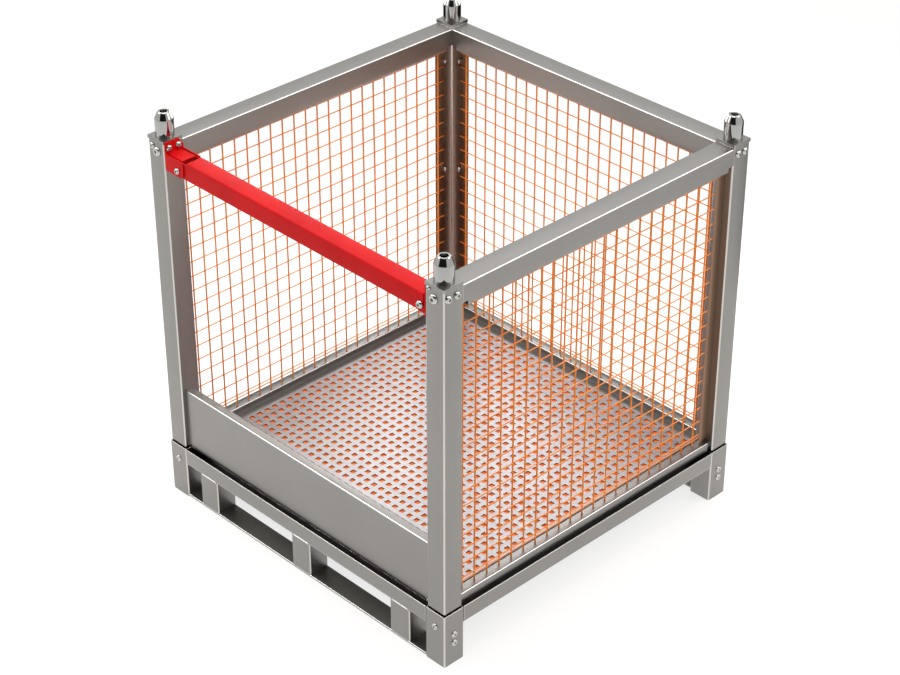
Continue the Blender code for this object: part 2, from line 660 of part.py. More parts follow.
def make_hinge_bracket():
    """Folded bracket on the left post: its cheeks hold the pivot and its tongue covers the bar's head."""
    half = CHEEK_GAP + BRACKET_SHEET
    back = FIT - PIVOT_FROM_POST
    plate = back + BRACKET_SHEET
    bend = plate + BRACKET_BEND
    tip, low, high = CHEEK_PAST_PIVOT, -CHEEK_BELOW_PIVOT, CHEEK_ABOVE_PIVOT
    open_end, beyond = tip + 0.01, back - 0.01
    top = PIVOT_BELOW_CAP - PLATE_TOP_BELOW_CAP
    plan = rounded_outline([(back, -half), (open_end, -half), (open_end, -CHEEK_GAP), (plate, -CHEEK_GAP),
                            (plate, CHEEK_GAP), (open_end, CHEEK_GAP), (open_end, half), (back, half)],
                           [BRACKET_SHEET, 0, 0, BRACKET_BEND, BRACKET_BEND, 0, 0, BRACKET_SHEET])
    side_view = [(beyond, low), (tip, low), (tip, high), (bend, high), (bend, top), (beyond, top)]
    bracket = sheet_bracket("bar_hinge_bracket", PIVOT, PIVOT_BOLT, plan, side_view,
                            [0, CHEEK_RADIUS, BRACKET_SHEET, BRACKET_BEND, 0, 0], top)
    reach = BAR_SIZE / 2 - BAR_LUG_LIP - TONGUE_GAP
    tongue = box_mesh((back + BRACKET_SHEET / 2, -reach, high - BRACKET_SHEET),
                      (TONGUE_PAST_PIVOT, reach, high - FIT))
    add_cutter("bar_hinge_tongue", tongue, bracket, "UNION")
    clear = 0.001
    corner = [(half - PLATE_CHAMFER_WIDTH, top + clear), (half + clear, top - PLATE_CHAMFER_HEIGHT),
              (half + clear, top + clear)]
    chamfer = extrude_outline(corner, -2 * PIVOT_FROM_POST, bend + FIT, ("y", "z", "x"))
    add_cutter("bar_hinge_chamfer", chamfer, bracket)


def make_rest_bracket():
    """Bracket on the right post: two low ears inside the bar's end carry the bolt that it drops onto."""
    half = CHEEK_GAP + BRACKET_SHEET
    back = REST_FROM_POST - FIT
    plate = back - BRACKET_SHEET
    inner = EAR_FACE - BRACKET_SHEET
    tip, low, high = -EAR_PAST_BOLT, -EAR_BELOW_BOLT, EAR_ABOVE_BOLT
    open_end, beyond, bend = tip - 0.01, back + 0.01, plate - FIT / 2
    top = CAP_TOP - REST_PLATE_TOP_BELOW_CAP - REST.z
    plan = [(back, -half), (plate, -half), (plate, -EAR_FACE), (open_end, -EAR_FACE), (open_end, -inner),
            (plate, -inner), (plate, inner), (open_end, inner), (open_end, EAR_FACE), (plate, EAR_FACE),
            (plate, half), (back, half)]
    side_view = [(beyond, low), (tip, low), (tip, high), (bend, high), (bend, top), (beyond, top)]
    sheet_bracket("bar_rest_bracket", REST, REST_BOLT, plan, side_view,
                  [0, EAR_RADIUS, EAR_RADIUS, BRACKET_BEND, 0, 0], top)


def make_bar():
    """Square tube: its head keeps two rounded lugs round the pivot, its far end is open below and notched."""
    bottom = -BAR_BOLT_HEIGHT
    top = BAR_SIZE - BAR_BOLT_HEIGHT
    end = BAR_SPAN + REST_FROM_POST - BAR_END_GAP
    clear = 0.02
    bm = square_tube(BAR_SIZE, BAR_SIZE, BAR_WALL, BAR_RADIUS, -BAR_TAIL - clear, end, ("y", "z", "x"))
    bmesh.ops.translate(bm, vec=(0, 0, (top + bottom) / 2), verts=bm.verts)
    bar = add_object("safety_bar", bm, "red_paint", PIVOT)
    bar.rotation_euler = (0, BAR_ANGLE, 0)
    under = bottom - 0.001
    side_view = [(-BAR_TAIL, under), (end + clear, under), (end + clear, top + clear),
                 (BAR_HEAD_LENGTH, top + clear), (BAR_HEAD_LENGTH, BAR_LUG_RADIUS),
                 (-BAR_TAIL, BAR_LUG_RADIUS)]
    outline = rounded_outline(side_view, [-under, 0, 0, 0, BAR_RADIUS, BAR_TAIL], 4)
    side_cut = extrude_outline(outline, -BAR_SIZE, BAR_SIZE, ("x", "z", "y"))
    add_cutter("bar_side_view", side_cut, bar, "INTERSECT")
    inside = BAR_SIZE / 2 - BAR_LUG_LIP
    head = box_mesh((-BAR_TAIL - clear, -inside, 0), (BAR_HEAD_LENGTH - FIT, inside, top + clear))
    add_cutter("bar_head_mouth", head, bar)
    ear_room = EAR_FACE + BRACKET_SIDE_GAP / 2
    rest = box_mesh((BAR_SPAN - EAR_PAST_BOLT - REST_MOUTH_PLAY, -ear_room, bottom - clear),
                    (end + clear, ear_room, bottom + 2 * BAR_WALL))
    add_cutter("bar_rest_mouth", rest, bar)
    add_cutter("bar_pivot_hole", cylinder_mesh(PIVOT_BOLT + 2 * FIT, -BAR_SIZE, BAR_SIZE, "y"), bar)
    notch = extrude_outline(rest_notch_outline(end + clear - BAR_SPAN), -BAR_SIZE, BAR_SIZE, ("x", "z", "y"))
    bmesh.ops.translate(notch, vec=(BAR_SPAN, 0, 0), verts=notch.verts)
    add_cutter("bar_rest_notch", notch, bar)


def rest_notch_outline(far, steps=4):
    """Notch open at the bar's bottom and end, with a quarter-round corner over the rest bolt."""
    crown = REST_BOLT / 2 + FIT
    wide = REST_BOLT / 2 + REST_SLOT_PLAY
    points = [(far, -BAR_SIZE), (far, crown)]
    for step in range(steps + 1):
        angle = math.pi / 2 * (1 + step / steps)
        points.append((wide * math.cos(angle), crown * math.sin(angle)))
    return points + [(-wide, -BAR_SIZE)]


def bolt_mesh(diameter, grip, head=1.75, head_height=0.55, socket=0.5):
    """Button-head bolt along +Z from under its head, with a hexagon socket in the head."""
    crown = diameter * head / 2
    height = diameter * head_height
    shank = diameter / 2
    profile = [(0, -height), (crown * 0.62, -height), (crown * 0.88, -height * 0.66),
               (crown, -height * 0.25), (crown, 0), (shank, 0), (shank, grip - shank * 0.15),
               (shank * 0.85, grip), (0, grip)]
    bm = turned_mesh(profile, 12)
    recess = bmesh.new()
    bmesh.ops.create_cone(recess, cap_ends=True, segments=6, radius1=diameter * socket / 2,
                          radius2=diameter * socket / 2, depth=height * 1.2,
                          matrix=Matrix.Translation((0, 0, -height)))
    return bm, recess


def add_bolt(name, diameter, grip, place, rotation):
    bm, recess = bolt_mesh(diameter, grip)
    bolt = add_object(name, bm, "zinc", place, smooth=True)
    bolt.rotation_euler = rotation
    add_cutter(name + "_socket", recess, bolt)


def add_nut(name, diameter, place, rotation):
    height = diameter * NUT_HEIGHT
    bm = bmesh.new()
    flat = diameter * 1.5 / 2 / math.cos(math.pi / 6)
    bmesh.ops.create_cone(bm, cap_ends=True, segments=6, radius1=flat, radius2=flat, depth=height,
                          matrix=Matrix.Translation((0, 0, height / 2)))
    bmesh.ops.bevel(bm, geom=[e for e in bm.edges if abs(e.verts[0].co.z - e.verts[1].co.z) < 1e-6],
                    offset=diameter * 0.06, segments=1, affect="EDGES")
    nut = add_object(name, bm, "zinc", place)
    nut.rotation_euler = rotation
    bore = cylinder_mesh(diameter + 2 * FIT, -height, 2 * height, "z")
    add_cutter(name + "_bore", bore, nut)


def make_cross_bolts():
    """Bolt and nut through the hinge cheeks, and a larger pair across the rest, outside the bar."""
    for name, place, size, face in (("bar_hinge", PIVOT, PIVOT_BOLT, CHEEK_GAP + BRACKET_SHEET + FIT),
                                    ("bar_rest", REST, REST_BOLT, CHEEK_GAP)):
        grip = 2 * face + (NUT_HEIGHT + BOLT_END) * size
        add_bolt(name + "_bolt", size, grip, place + Vector((0, -face, 0)), (-math.pi / 2, 0, 0))
        add_nut(name + "_nut", size, place + Vector((0, face, 0)), (-math.pi / 2, 0, 0))


def make_plate_bolts():
    """Two bolts hold each bracket plate to its post."""
    face = HALF_X - POST_SIZE - FIT - BRACKET_SHEET - FIT
    grip = BRACKET_SHEET + POST_WALL + 0.008
    level = CAP_TOP - PLATE_BOLT_BELOW_CAP
    for side, name in ((-1, "hinge_plate_bolt"), (1, "rest_plate_bolt")):
        for row, offset in zip(("front", "rear"), PLATE_BOLT_PLACES):
            add_bolt(f"{name}_{row}", PLATE_BOLT, grip, (side * face, -POST_Y + offset, level),
                     (0, side * math.pi / 2, 0))


def build():
    clear_scene()
    make_feet()
    make_spigots()
    make_base_beams()
    make_fork_spacers()
    make_skids()
    make_floor_bearers()
    make_posts()
    make_caps()
    make_pins()
    make_top_rails()
    make_lower_rails()
    make_kickplate()
    make_floor_tray()
    make_underlay()
    make_floor()
    make_mesh_panels()
    make_hinge_bracket()
    make_rest_bracket()
    make_bar()
    make_cross_bolts()
    make_plate_bolts()


build()
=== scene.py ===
# Stillage cage in brushed stainless steel, with orange wire panels and a red lift-up bar.
# Everything is in metres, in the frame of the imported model: +Z up, the open front faces -Y.

import json
import math

import bmesh
import bpy
from mathutils import Matrix, Vector

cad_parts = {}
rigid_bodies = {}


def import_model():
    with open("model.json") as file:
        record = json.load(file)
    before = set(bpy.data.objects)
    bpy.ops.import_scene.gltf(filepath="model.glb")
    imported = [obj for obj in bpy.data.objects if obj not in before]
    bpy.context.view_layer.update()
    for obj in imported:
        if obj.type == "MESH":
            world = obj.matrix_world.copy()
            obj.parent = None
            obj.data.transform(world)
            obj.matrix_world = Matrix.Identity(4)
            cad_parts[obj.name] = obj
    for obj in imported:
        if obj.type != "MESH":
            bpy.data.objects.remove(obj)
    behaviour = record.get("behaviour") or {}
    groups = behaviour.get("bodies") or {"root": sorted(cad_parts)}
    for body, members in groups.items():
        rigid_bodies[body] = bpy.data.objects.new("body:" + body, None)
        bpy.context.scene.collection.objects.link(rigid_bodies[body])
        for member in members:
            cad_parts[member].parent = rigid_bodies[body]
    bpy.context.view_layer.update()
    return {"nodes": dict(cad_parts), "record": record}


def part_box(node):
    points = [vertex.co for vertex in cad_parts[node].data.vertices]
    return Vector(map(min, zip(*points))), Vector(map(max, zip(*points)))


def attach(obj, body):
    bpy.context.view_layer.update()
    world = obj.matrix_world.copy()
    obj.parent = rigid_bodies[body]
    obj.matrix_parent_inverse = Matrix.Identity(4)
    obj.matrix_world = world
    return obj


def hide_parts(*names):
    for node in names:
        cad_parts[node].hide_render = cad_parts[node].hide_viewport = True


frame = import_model()
print("frame loaded:", len(frame["nodes"]), "nodes")
bpy.context.scene.view_settings.view_transform = "Standard"


# Small helpers

def hexToLinear(text):
    parts = [int(text[i:i + 2], 16) / 255 for i in (1, 3, 5)]
    return tuple(p / 12.92 if p <= 0.04045 else ((p + 0.055) / 1.055) ** 2.4 for p in parts) + (1.0,)


def addNode(tree, kind, settings=None, inputs=None, links=None, stops=(), feeds=None):
    # settings go on the node, inputs on its sockets and stops on its colour ramp;
    # links come from (node, socket) pairs, and feeds go to such pairs
    node = tree.nodes.new(kind)
    for key, value in (settings or {}).items():
        setattr(node, key, value)
    for key, value in (inputs or {}).items():
        node.inputs[key].default_value = value
    for key, (source, socket) in (links or {}).items():
        tree.links.new(source.outputs[socket], node.inputs[key])
    for number, (position, colour) in enumerate(stops):
        node.color_ramp.elements[number].position = position
        node.color_ramp.elements[number].color = hexToLinear(colour) if isinstance(colour, str) else colour
    for key, (target, socket) in (feeds or {}).items():
        tree.links.new(node.outputs[key], target.inputs[socket])
    return node


def addObject(name, data):
    thing = bpy.data.objects.new(name, data)
    bpy.context.scene.collection.objects.link(thing)
    return thing


def aimAt(thing, spot, target, front):
    # stand a lamp or a card at a spot, with its front axis towards the target
    thing.location = spot
    thing.rotation_mode = "QUATERNION"
    thing.rotation_quaternion = (Vector(target) - Vector(spot)).to_track_quat(front, "Y")


def startMaterial(name, **sockets):
    material = bpy.data.materials.new(name)
    material.use_nodes = True
    tree = material.node_tree
    shader = tree.nodes["Principled BSDF"]
    for key, value in sockets.items():
        shader.inputs[key.replace("_", " ")].default_value = value
    return material, tree, shader


# A pattern is a (node, socket) pair.

def objectSpace(tree):
    return addNode(tree, "ShaderNodeTexCoord"), "Object"


def noise(tree, where, scale, detail, roughness=0.5):
    return addNode(tree, "ShaderNodeTexNoise", links={"Vector": where},
                   inputs={"Scale": scale, "Detail": detail, "Roughness": roughness}), "Fac"


def tint(tree, shader, pattern, stops):
    addNode(tree, "ShaderNodeValToRGB", links={"Fac": pattern}, stops=stops,
            feeds={"Color": (shader, "Base Color")})


def roughen(tree, shader, pattern, low, high, span=(0, 1)):
    addNode(tree, "ShaderNodeMapRange", links={"Value": pattern}, feeds={"Result": (shader, "Roughness")},
            inputs={"From Min": span[0], "From Max": span[1], "To Min": low, "To Max": high})


def emboss(tree, shader, pattern, strength):
    addNode(tree, "ShaderNodeBump", links={"Height": pattern}, feeds={"Normal": (shader, "Normal")},
            inputs={"Strength": strength, "Distance": 0.0002})


def roundedLoop(corners, radii, steps=5):
    # corner points with their own radii, turned into one closed loop
    count = len(corners)
    if not isinstance(radii, (list, tuple)):
        radii = [radii] * count
    loop = []
    for i, corner in enumerate(corners):
        here = Vector(corner)
        if radii[i] <= 0:
            loop.append(here)
            continue
        back = (Vector(corners[i - 1]) - here).normalized()
        ahead = (Vector(corners[(i + 1) % count]) - here).normalized()
        half = back.angle(ahead) / 2
        reach = radii[i] / math.tan(half)
        centre = here + (back + ahead).normalized() * (radii[i] / math.sin(half))
        start = here + back * reach - centre
        sweep = start.angle_signed(here + ahead * reach - centre)
        loop += [centre + Matrix.Rotation(-sweep * k / steps, 2) @ start for k in range(steps + 1)]
    return loop


def rectCorners(width, height):
    x, y = width / 2, height / 2
    return [(-x, -y), (x, -y), (x, y), (-x, y)]


def ringAt(bm, loop, axes, level):
    verts = []
    for point in loop:
        spot = Vector((0, 0, 0))
        spot["xyz".index(axes[0])], spot["xyz".index(axes[1])] = point
        spot["xyz".index(axes[2])] = level
        verts.append(bm.verts.new(spot))
    return verts


def roundRing(bm, radius, level, sides):
    # radius is a number, or a function that gives it for an angle
    ring = []
    for k in range(sides):
        angle = math.tau * k / sides
        reach = radius(angle) if callable(radius) else radius
        ring.append(bm.verts.new((reach * math.cos(angle), reach * math.sin(angle), level)))
    return ring


def bridge(bm, first, second):
    count = len(first)
    for i in range(count):
        j = (i + 1) % count
        bm.faces.new((first[i], first[j], second[j], second[i]))


def solidBar(loop, low, high, axes):
    bm = bmesh.new()
    start, end = ringAt(bm, loop, axes, low), ringAt(bm, loop, axes, high)
    bridge(bm, start, end)
    bm.faces.new(start)
    bm.faces.new(end)
    return bm


def hollowBar(outer, inner, low, high, axes):
    bm = bmesh.new()
    rings = [ringAt(bm, outer, axes, low), ringAt(bm, outer, axes, high),
             ringAt(bm, inner, axes, high), ringAt(bm, inner, axes, low)]
    for i in range(4):
        bridge(bm, rings[i], rings[(i + 1) % 4])
    return bm


def squareTube(width, height, wall, radius, low, high, axes, steps=5):
    innerRadius = max(radius - wall, 0.001)  # never quite sharp
    outer = roundedLoop(rectCorners(width, height), radius, steps)
    inner = roundedLoop(rectCorners(width - 2 * wall, height - 2 * wall), innerRadius, steps)
    return hollowBar(outer, inner, low, high, axes)


def boxBetween(low, high):
    bm = bmesh.new()
    low, high = Vector(low), Vector(high)
    bmesh.ops.create_cube(bm, size=1.0, matrix=Matrix.Translation((low + high) / 2)
                          @ Matrix.Diagonal((*(high - low), 1)))
    return bm


def turnTo(way):
    # the turn that lays the Z axis along the given way
    return Vector(way).to_track_quat("Z", "Y").to_matrix().to_4x4()


def rod(diameter, start, end, sides=24):
    start, end = Vector(start), Vector(end)
    place = Matrix.Translation((start + end) / 2) @ turnTo(end - start)
    bm = bmesh.new()
    bmesh.ops.create_cone(bm, cap_ends=True, segments=sides, radius1=diameter / 2, radius2=diameter / 2,
                          depth=(end - start).length, matrix=place)
    return bm


def lathe(profile, sides):
    # profile points are (radius, height); a radius of 0 closes on the axis
    bm = bmesh.new()
    rings = [roundRing(bm, radius, height, sides) if radius > 0 else [bm.verts.new((0, 0, height))]
             for radius, height in profile]
    for first, second in zip(rings, rings[1:]):
        for k in range(sides):
            j = (k + 1) % sides
            if len(first) == 1:
                bm.faces.new((first[0], second[k], second[j]))
            elif len(second) == 1:
                bm.faces.new((first[k], first[j], second[0]))
            else:
                bm.faces.new((first[k], first[j], second[j], second[k]))
    return bm


def moved(bm, matrix):
    bmesh.ops.transform(bm, matrix=matrix, verts=bm.verts)
    return bm


def shifted(bm, x, y, z=0):
    return moved(bm, Matrix.Translation((x, y, z)))


def merged(parts):
    whole = bmesh.new()
    for part in parts:
        mesh = bpy.data.meshes.new("joining")
        part.to_mesh(mesh)
        part.free()
        whole.from_mesh(mesh)
        bpy.data.meshes.remove(mesh)
    return whole


def toMesh(name, bm):
    bmesh.ops.recalc_face_normals(bm, faces=bm.faces)
    mesh = bpy.data.meshes.new(name)
    bm.to_mesh(mesh)
    bm.free()
    return mesh


def carve(piece, changes):
    # each change is (operation, bmesh); the result is applied, so no cutter is left behind
    for operation, bm in changes:
        tool = addObject("tool", toMesh("tool", bm))
        modifier = piece.modifiers.new("carve", "BOOLEAN")
        modifier.operation, modifier.solver, modifier.object = operation, "EXACT", tool
        bpy.context.view_layer.update()
        result = bpy.data.meshes.new_from_object(piece.evaluated_get(bpy.context.evaluated_depsgraph_get()))
        piece.modifiers.remove(modifier)
        oldMesh, piece.data = piece.data, result
        bpy.data.meshes.remove(oldMesh)
        bpy.data.objects.remove(tool, do_unlink=True)


finish = {"edge": 0.0006, "edgeSteps": 2, "edgeFrom": 40, "smoothTo": 32, "flat": 0.985}
past, through = 0.01, 0.05  # how far cutters reach past what they cut, and through a whole piece


def makePiece(name, bm, material, body="cage", stands=(), edge=finish["edge"], changes=(),
              place=None, smooth=finish["smoothTo"]):
    # edge is the small radius that a deburred or folded edge has
    piece = addObject(name, toMesh(name, bm))
    carve(piece, changes)
    if place is not None:
        piece.data.transform(place)
    piece.data.name = name
    piece.data.materials.clear()
    piece.data.materials.append(material)
    if material in steelAlong.values():
        # painted highlight: rounded corners take a brighter steel tone than the flats, for the bright lines
        # that light draws along them
        piece.data.materials.append(edgeHighlightSteel)
        for face in piece.data.polygons:
            face.material_index = 1 if max(abs(c) for c in face.normal) < finish["flat"] else 0
    piece.data.shade_smooth()
    piece.data.set_sharp_from_angle(angle=math.radians(smooth))
    if edge > 0:
        bevel = piece.modifiers.new("edge", "BEVEL")
        bevel.width, bevel.segments, bevel.limit_method = edge, finish["edgeSteps"], "ANGLE"
        bevel.angle_limit, bevel.harden_normals = math.radians(finish["edgeFrom"]), True
        # the bevel faces take the same painted highlight
        bevel.material = len(piece.data.materials) - 1
    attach(piece, body)
    if stands:
        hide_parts(*stands)
    return piece


# Camera, light and the plain room

camera = {"azimuth": 45.762, "elevation": 32.044, "distance": 5.885, "lens": 90.79, "sensor": 36, "far": 60,
          "aim": (0.0, 0.0, 0.525), "right": 0.0035, "up": -0.0345}
az, el = math.radians(camera["azimuth"]), math.radians(camera["elevation"])
backWay = Vector((math.sin(az) * math.cos(el), -math.cos(az) * math.cos(el), math.sin(el)))
rightWay = Vector((math.cos(az), math.sin(az), 0))
upWay = backWay.cross(rightWay)
camObject = addObject("camera", bpy.data.cameras.new("camera"))
camObject.data.lens = camera["lens"]
camObject.data.sensor_width = camera["sensor"]
camObject.data.clip_end = camera["far"]
camObject.location = (Vector(camera["aim"]) + rightWay * camera["right"] + upWay * camera["up"]
                      + backWay * camera["distance"])
camObject.rotation_mode = "QUATERNION"
camObject.rotation_quaternion = Matrix((rightWay, upWay, backWay)).transposed().to_quaternion()
bpy.context.scene.camera = camObject

lampTarget = (0, 0, 0.5)
lamps = {
    "key": {"size": (2.4, 2.4), "power": 84, "at": (-3.0, -2.8, 3.75)},
    "fill": {"size": (2.6, 2.4), "power": 78, "at": (3.1, 2.6, 3.75)},
    "back": {"size": (3.0, 0.8), "power": 11, "at": (-2.16, 2.1, 3.66)},
    "strip": {"size": (3.0, 0.62), "power": 27.5, "at": (-0.94, 0.91, 1.14)},
    "overhead": {"size": (2.4, 2.4), "power": 72, "at": (0.4, -0.6, 4.8)},
}
for lampName, spec in lamps.items():
    data = bpy.data.lights.new(lampName, "AREA")
    data.shape, data.energy = "RECTANGLE", spec["power"]
    data.size, data.size_y = spec["size"]
    lamp = addObject(lampName, data)
    lamp.visible_camera = False
    aimAt(lamp, spec["at"], lampTarget, "-Z")

room = {"air": "#E9E7E3", "airStrength": 0.52, "paint": "#E6E4E0", "paintUnderShadow": "#A2A19F",
        "seenStrength": 0.75, "sides": 64,
        # the floor and backdrop as rings: radius and height
        "rings": ((0.01, 0), (4, 0), (9, 0), (11, 0.35), (12.4, 1.4), (13, 3.2), (13.2, 9))}


def seenDirectly(tree):
    # 1 for what the camera sees by itself or in metal, 0 for light that only spreads in the room
    path = addNode(tree, "ShaderNodeLightPath")
    mirror = addNode(tree, "ShaderNodeMath", {"operation": "MAXIMUM"},
                     links={0: (path, "Is Glossy Ray"), 1: (path, "Is Transmission Ray")})
    return addNode(tree, "ShaderNodeMath", {"operation": "MAXIMUM"},
                   links={0: (path, "Is Camera Ray"), 1: (mirror, "Value")})


def makeWorld():
    world = bpy.data.worlds.new("softRoom")
    bpy.context.scene.world = world
    world.use_nodes = True
    tree = world.node_tree
    air = tree.nodes["Background"]
    air.inputs["Color"].default_value = hexToLinear(room["air"])
    air.inputs["Strength"].default_value = room["airStrength"]
    white = addNode(tree, "ShaderNodeBackground", inputs={"Color": (1, 1, 1, 1), "Strength": 1.0})
    addNode(tree, "ShaderNodeMixShader",
            links={0: (seenDirectly(tree), "Value"), 1: (air, "Background"), 2: (white, "Background")},
            feeds={"Shader": (tree.nodes["World Output"], "Surface")})


def matteWhitePaint():
    # White matte studio paint: reads as plain white, and still takes a pale shadow under the object.
    material, tree, shader = startMaterial("matteWhitePaint", Roughness=0.9,
                                           Base_Color=hexToLinear(room["paint"]))
    shadowed = addNode(tree, "ShaderNodeBsdfDiffuse", inputs={"Color": hexToLinear(room["paintUnderShadow"])})
    glow = addNode(tree, "ShaderNodeEmission",
                   inputs={"Color": (1, 1, 1, 1), "Strength": room["seenStrength"]})
    white = addNode(tree, "ShaderNodeAddShader", links={0: (shadowed, "BSDF"), 1: (glow, "Emission")})
    addNode(tree, "ShaderNodeMixShader",
            links={0: (seenDirectly(tree), "Value"), 1: (shader, "BSDF"), 2: (white, "Shader")},
            feeds={"Shader": (tree.nodes["Material Output"], "Surface")})
    return material


def makeRoom():
    # a floor that curves up into a far backdrop, seen from every side as the same white surface
    bm = bmesh.new()
    rings = [roundRing(bm, radius, height, room["sides"]) for radius, height in room["rings"]]
    bm.faces.new(rings[0])
    for first, second in zip(rings, rings[1:]):
        bridge(bm, first, second)
    shell = addObject("roomShell", toMesh("roomShell", bm))
    shell.data.shade_smooth()
    shell.data.materials.append(matteWhitePaint())


flags = {
    "blackFlag": {"size": (5.0, 2.6), "at": (1.5, -2.5, 2.7), "lookAt": (0.0, 0.0, 1.1)},
    "leftFlag": {"size": (1.5, 0.85), "at": (-1.2, 0.55, 0.67), "lookAt": (0.0, 0.55, 0.67)},
    "backFlag": {"size": (2.0, 0.85), "at": (-0.1, 1.2, 0.67), "lookAt": (-0.1, 0.0, 0.67)},
}


def makeFlags():
    # Matte black flag cloth round the cage: metal shows it as dark bands, nothing else sees it.
    material = startMaterial("blackFlagCloth", Roughness=1.0, Base_Color=hexToLinear("#0B0B0C"))[0]
    for name, spec in flags.items():
        bm = bmesh.new()
        bmesh.ops.create_grid(bm, x_segments=1, y_segments=1, size=0.5)
        card = addObject(name, toMesh(name, moved(bm, Matrix.Diagonal((*spec["size"], 1, 1)))))
        aimAt(card, spec["at"], spec["lookAt"], "Z")
        card.data.materials.append(material)
        card.visible_camera = card.visible_diffuse = card.visible_shadow = False


makeWorld()
makeFlags()
makeRoom()
print("camera, lamps and room ready")


# Materials

def stainlessSheet(name, grain, tone="#918F8C", roughness=0.36, cloud=0.04):
    # Stainless steel tube and sheet with a satin finish: grey, with a long soft highlight across fine
    # polishing lines. The real lines are about 0.1 mm apart; they are drawn about 2 mm apart, so that
    # they show at all.
    material, tree, shader = startMaterial(name, Metallic=1.0)
    here = objectSpace(tree)
    lineGap, lineLength, cloudSize = 0.002, 0.18, 1 / 7  # clouds are patches about 140 mm across
    stretch = [1 / lineGap] * 3
    stretch["xyz".index(grain)] = 1 / lineLength
    mapping = addNode(tree, "ShaderNodeMapping", inputs={"Scale": stretch}, links={"Vector": here})
    lines = noise(tree, (mapping, "Vector"), 1.0, 4.0, 0.6)
    clouds = noise(tree, here, 1 / cloudSize, 3.0)
    mixed = addNode(tree, "ShaderNodeMath", {"operation": "MULTIPLY_ADD"}, {1: 0.35}, {0: lines, 2: clouds})
    dark, light = [tuple(c * share for c in hexToLinear(tone)[:3]) + (1,) for share in (1 - cloud, 1 + cloud)]
    tint(tree, shader, (mixed, "Value"), ((0.35, dark), (1, light)))
    roughen(tree, shader, lines, roughness - 0.05, roughness + 0.06, (0.3, 0.7))
    emboss(tree, shader, lines, 0.12)
    return material


def turnedStainless():
    # Turned and polished stainless bar: near-mirror, with faint lathe rings round its axis, drawn about
    # 2 mm apart so that they show.
    material, tree, shader = startMaterial("turnedStainless", Metallic=1.0)
    mapping = addNode(tree, "ShaderNodeMapping", inputs={"Scale": (2.0, 2.0, 500.0)},
                      links={"Vector": objectSpace(tree)})
    rings = noise(tree, (mapping, "Vector"), 1.0, 2.0)
    tint(tree, shader, rings, ((0, "#9E9E9C"), (1, "#B2B2B0")))
    roughen(tree, shader, rings, 0.05, 0.11)
    return material


def zincPlate():
    # Bright zinc plated bolt steel: pale grey, slightly mottled by the plating crystals, about 1 mm.
    material, tree, shader = startMaterial("zincPlate", Metallic=1.0)
    mottle = noise(tree, objectSpace(tree), 900.0, 3.0)
    tint(tree, shader, mottle, ((0, "#B2B1AE"), (1, "#CECDC9")))
    roughen(tree, shader, mottle, 0.16, 0.30)
    return material


def powderCoat(name, tone, deep, roughness, peel=0.0022, sheen=0.03, shine=0.12):
    # Polyester powder coat, sprayed and baked: even colour, soft gloss over a fine orange peel of 2 mm.
    material, tree, shader = startMaterial(name, IOR=1.5, Specular_IOR_Level=shine, Coat_Weight=sheen,
                                           Coat_Roughness=0.18)
    here = objectSpace(tree)
    tint(tree, shader, noise(tree, here, 9.0, 4.0), ((0.3, deep), (0.7, tone)))
    grain = noise(tree, here, 1 / peel, 2.0)
    roughen(tree, shader, grain, roughness - 0.06, roughness + 0.06)
    emboss(tree, shader, grain, 0.1)
    return material


def blackenedSteel():
    # Nearly black, dull steel with slightly warmer patches, given to the spigots in the dark gap between base
    # and cage.
    material, tree, shader = startMaterial("blackenedSteel", Metallic=0.4, Roughness=0.7)
    tint(tree, shader, noise(tree, objectSpace(tree), 60.0, 4.0), ((0, "#17171A"), (1, "#2C2926")))
    return material


steelAlong = {axis: stainlessSheet("satinStainlessAlong" + axis.upper(), axis) for axis in "xyz"}
# painted highlight: a brighter steel for corners and bevels, standing in for the light they catch
edgeHighlightSteel = stainlessSheet("burnishedEdge", "z", "#C9C7C3", 0.24, 0.03)
floorSteel = stainlessSheet("perforatedStainless", "x", "#A3A1A3", 0.38, 0.05)
pinSteel = turnedStainless()
boltZinc = zincPlate()
redCoat = powderCoat("redPowderCoat", "#DE1519", "#CE1115", 0.34, shine=0.07, sheen=0.01)
wireCoat = powderCoat("orangeWireCoat", "#FFA250", "#F99240", 0.38, 0.0015)
wireReflectionSteel = stainlessSheet("satinStainlessStrip", "z", "#A5856E", 0.34)  # painted reflection: steel toned orange-brown for the orange wires it mirrors
sheetCoat = powderCoat("orangeSheetCoat", "#F67E30", "#E86E26", 0.45)
darkSteel = blackenedSteel()
print("materials ready")


# Bolts

button = {"seat": (0.94, -0.0004), "keyRim": 1.12, "keyLevels": (0.98, 0.35),
          # the side of the head, as shares of its radius and height
          "side": ((1, 0.10), (0.985, 0.26), (0.90, 0.56), (0.75, 0.82), (0.58, 0.96))}
nut = {"flats": 1.5, "high": 0.8, "play": 0.0004, "turned": 0.0012, "slope": 0.0008, "lead": 0.0004}
boltSides = 36


def hexRadius(flats, angle):
    # how far the side of a hexagon is from its middle, at an angle
    turn = (angle + math.pi / 6) % (math.pi / 3) - math.pi / 6
    return flats / 2 / math.cos(turn)


def boltHead(at, way, across, height, key=0.005):
    # button head with a hexagon key recess, its seat on the surface at the given point
    rim, keyCorner = across / 2, key / 2 / math.cos(math.pi / 6)
    inset, below = button["seat"]
    bm = bmesh.new()
    profile = [(rim * inset, below)] + [(rim * out, height * up) for out, up in button["side"]]
    profile.append((keyCorner * button["keyRim"], height))
    rings = [roundRing(bm, radius, level, boltSides) for radius, level in profile]
    rings += [roundRing(bm, lambda angle: hexRadius(key, angle), height * share, boltSides)
              for share in button["keyLevels"]]
    for first, second in zip(rings, rings[1:]):
        bridge(bm, first, second)
    bm.faces.new(rings[-1])
    bm.faces.new(rings[0])
    return moved(bm, Matrix.Translation(at) @ turnTo(way))


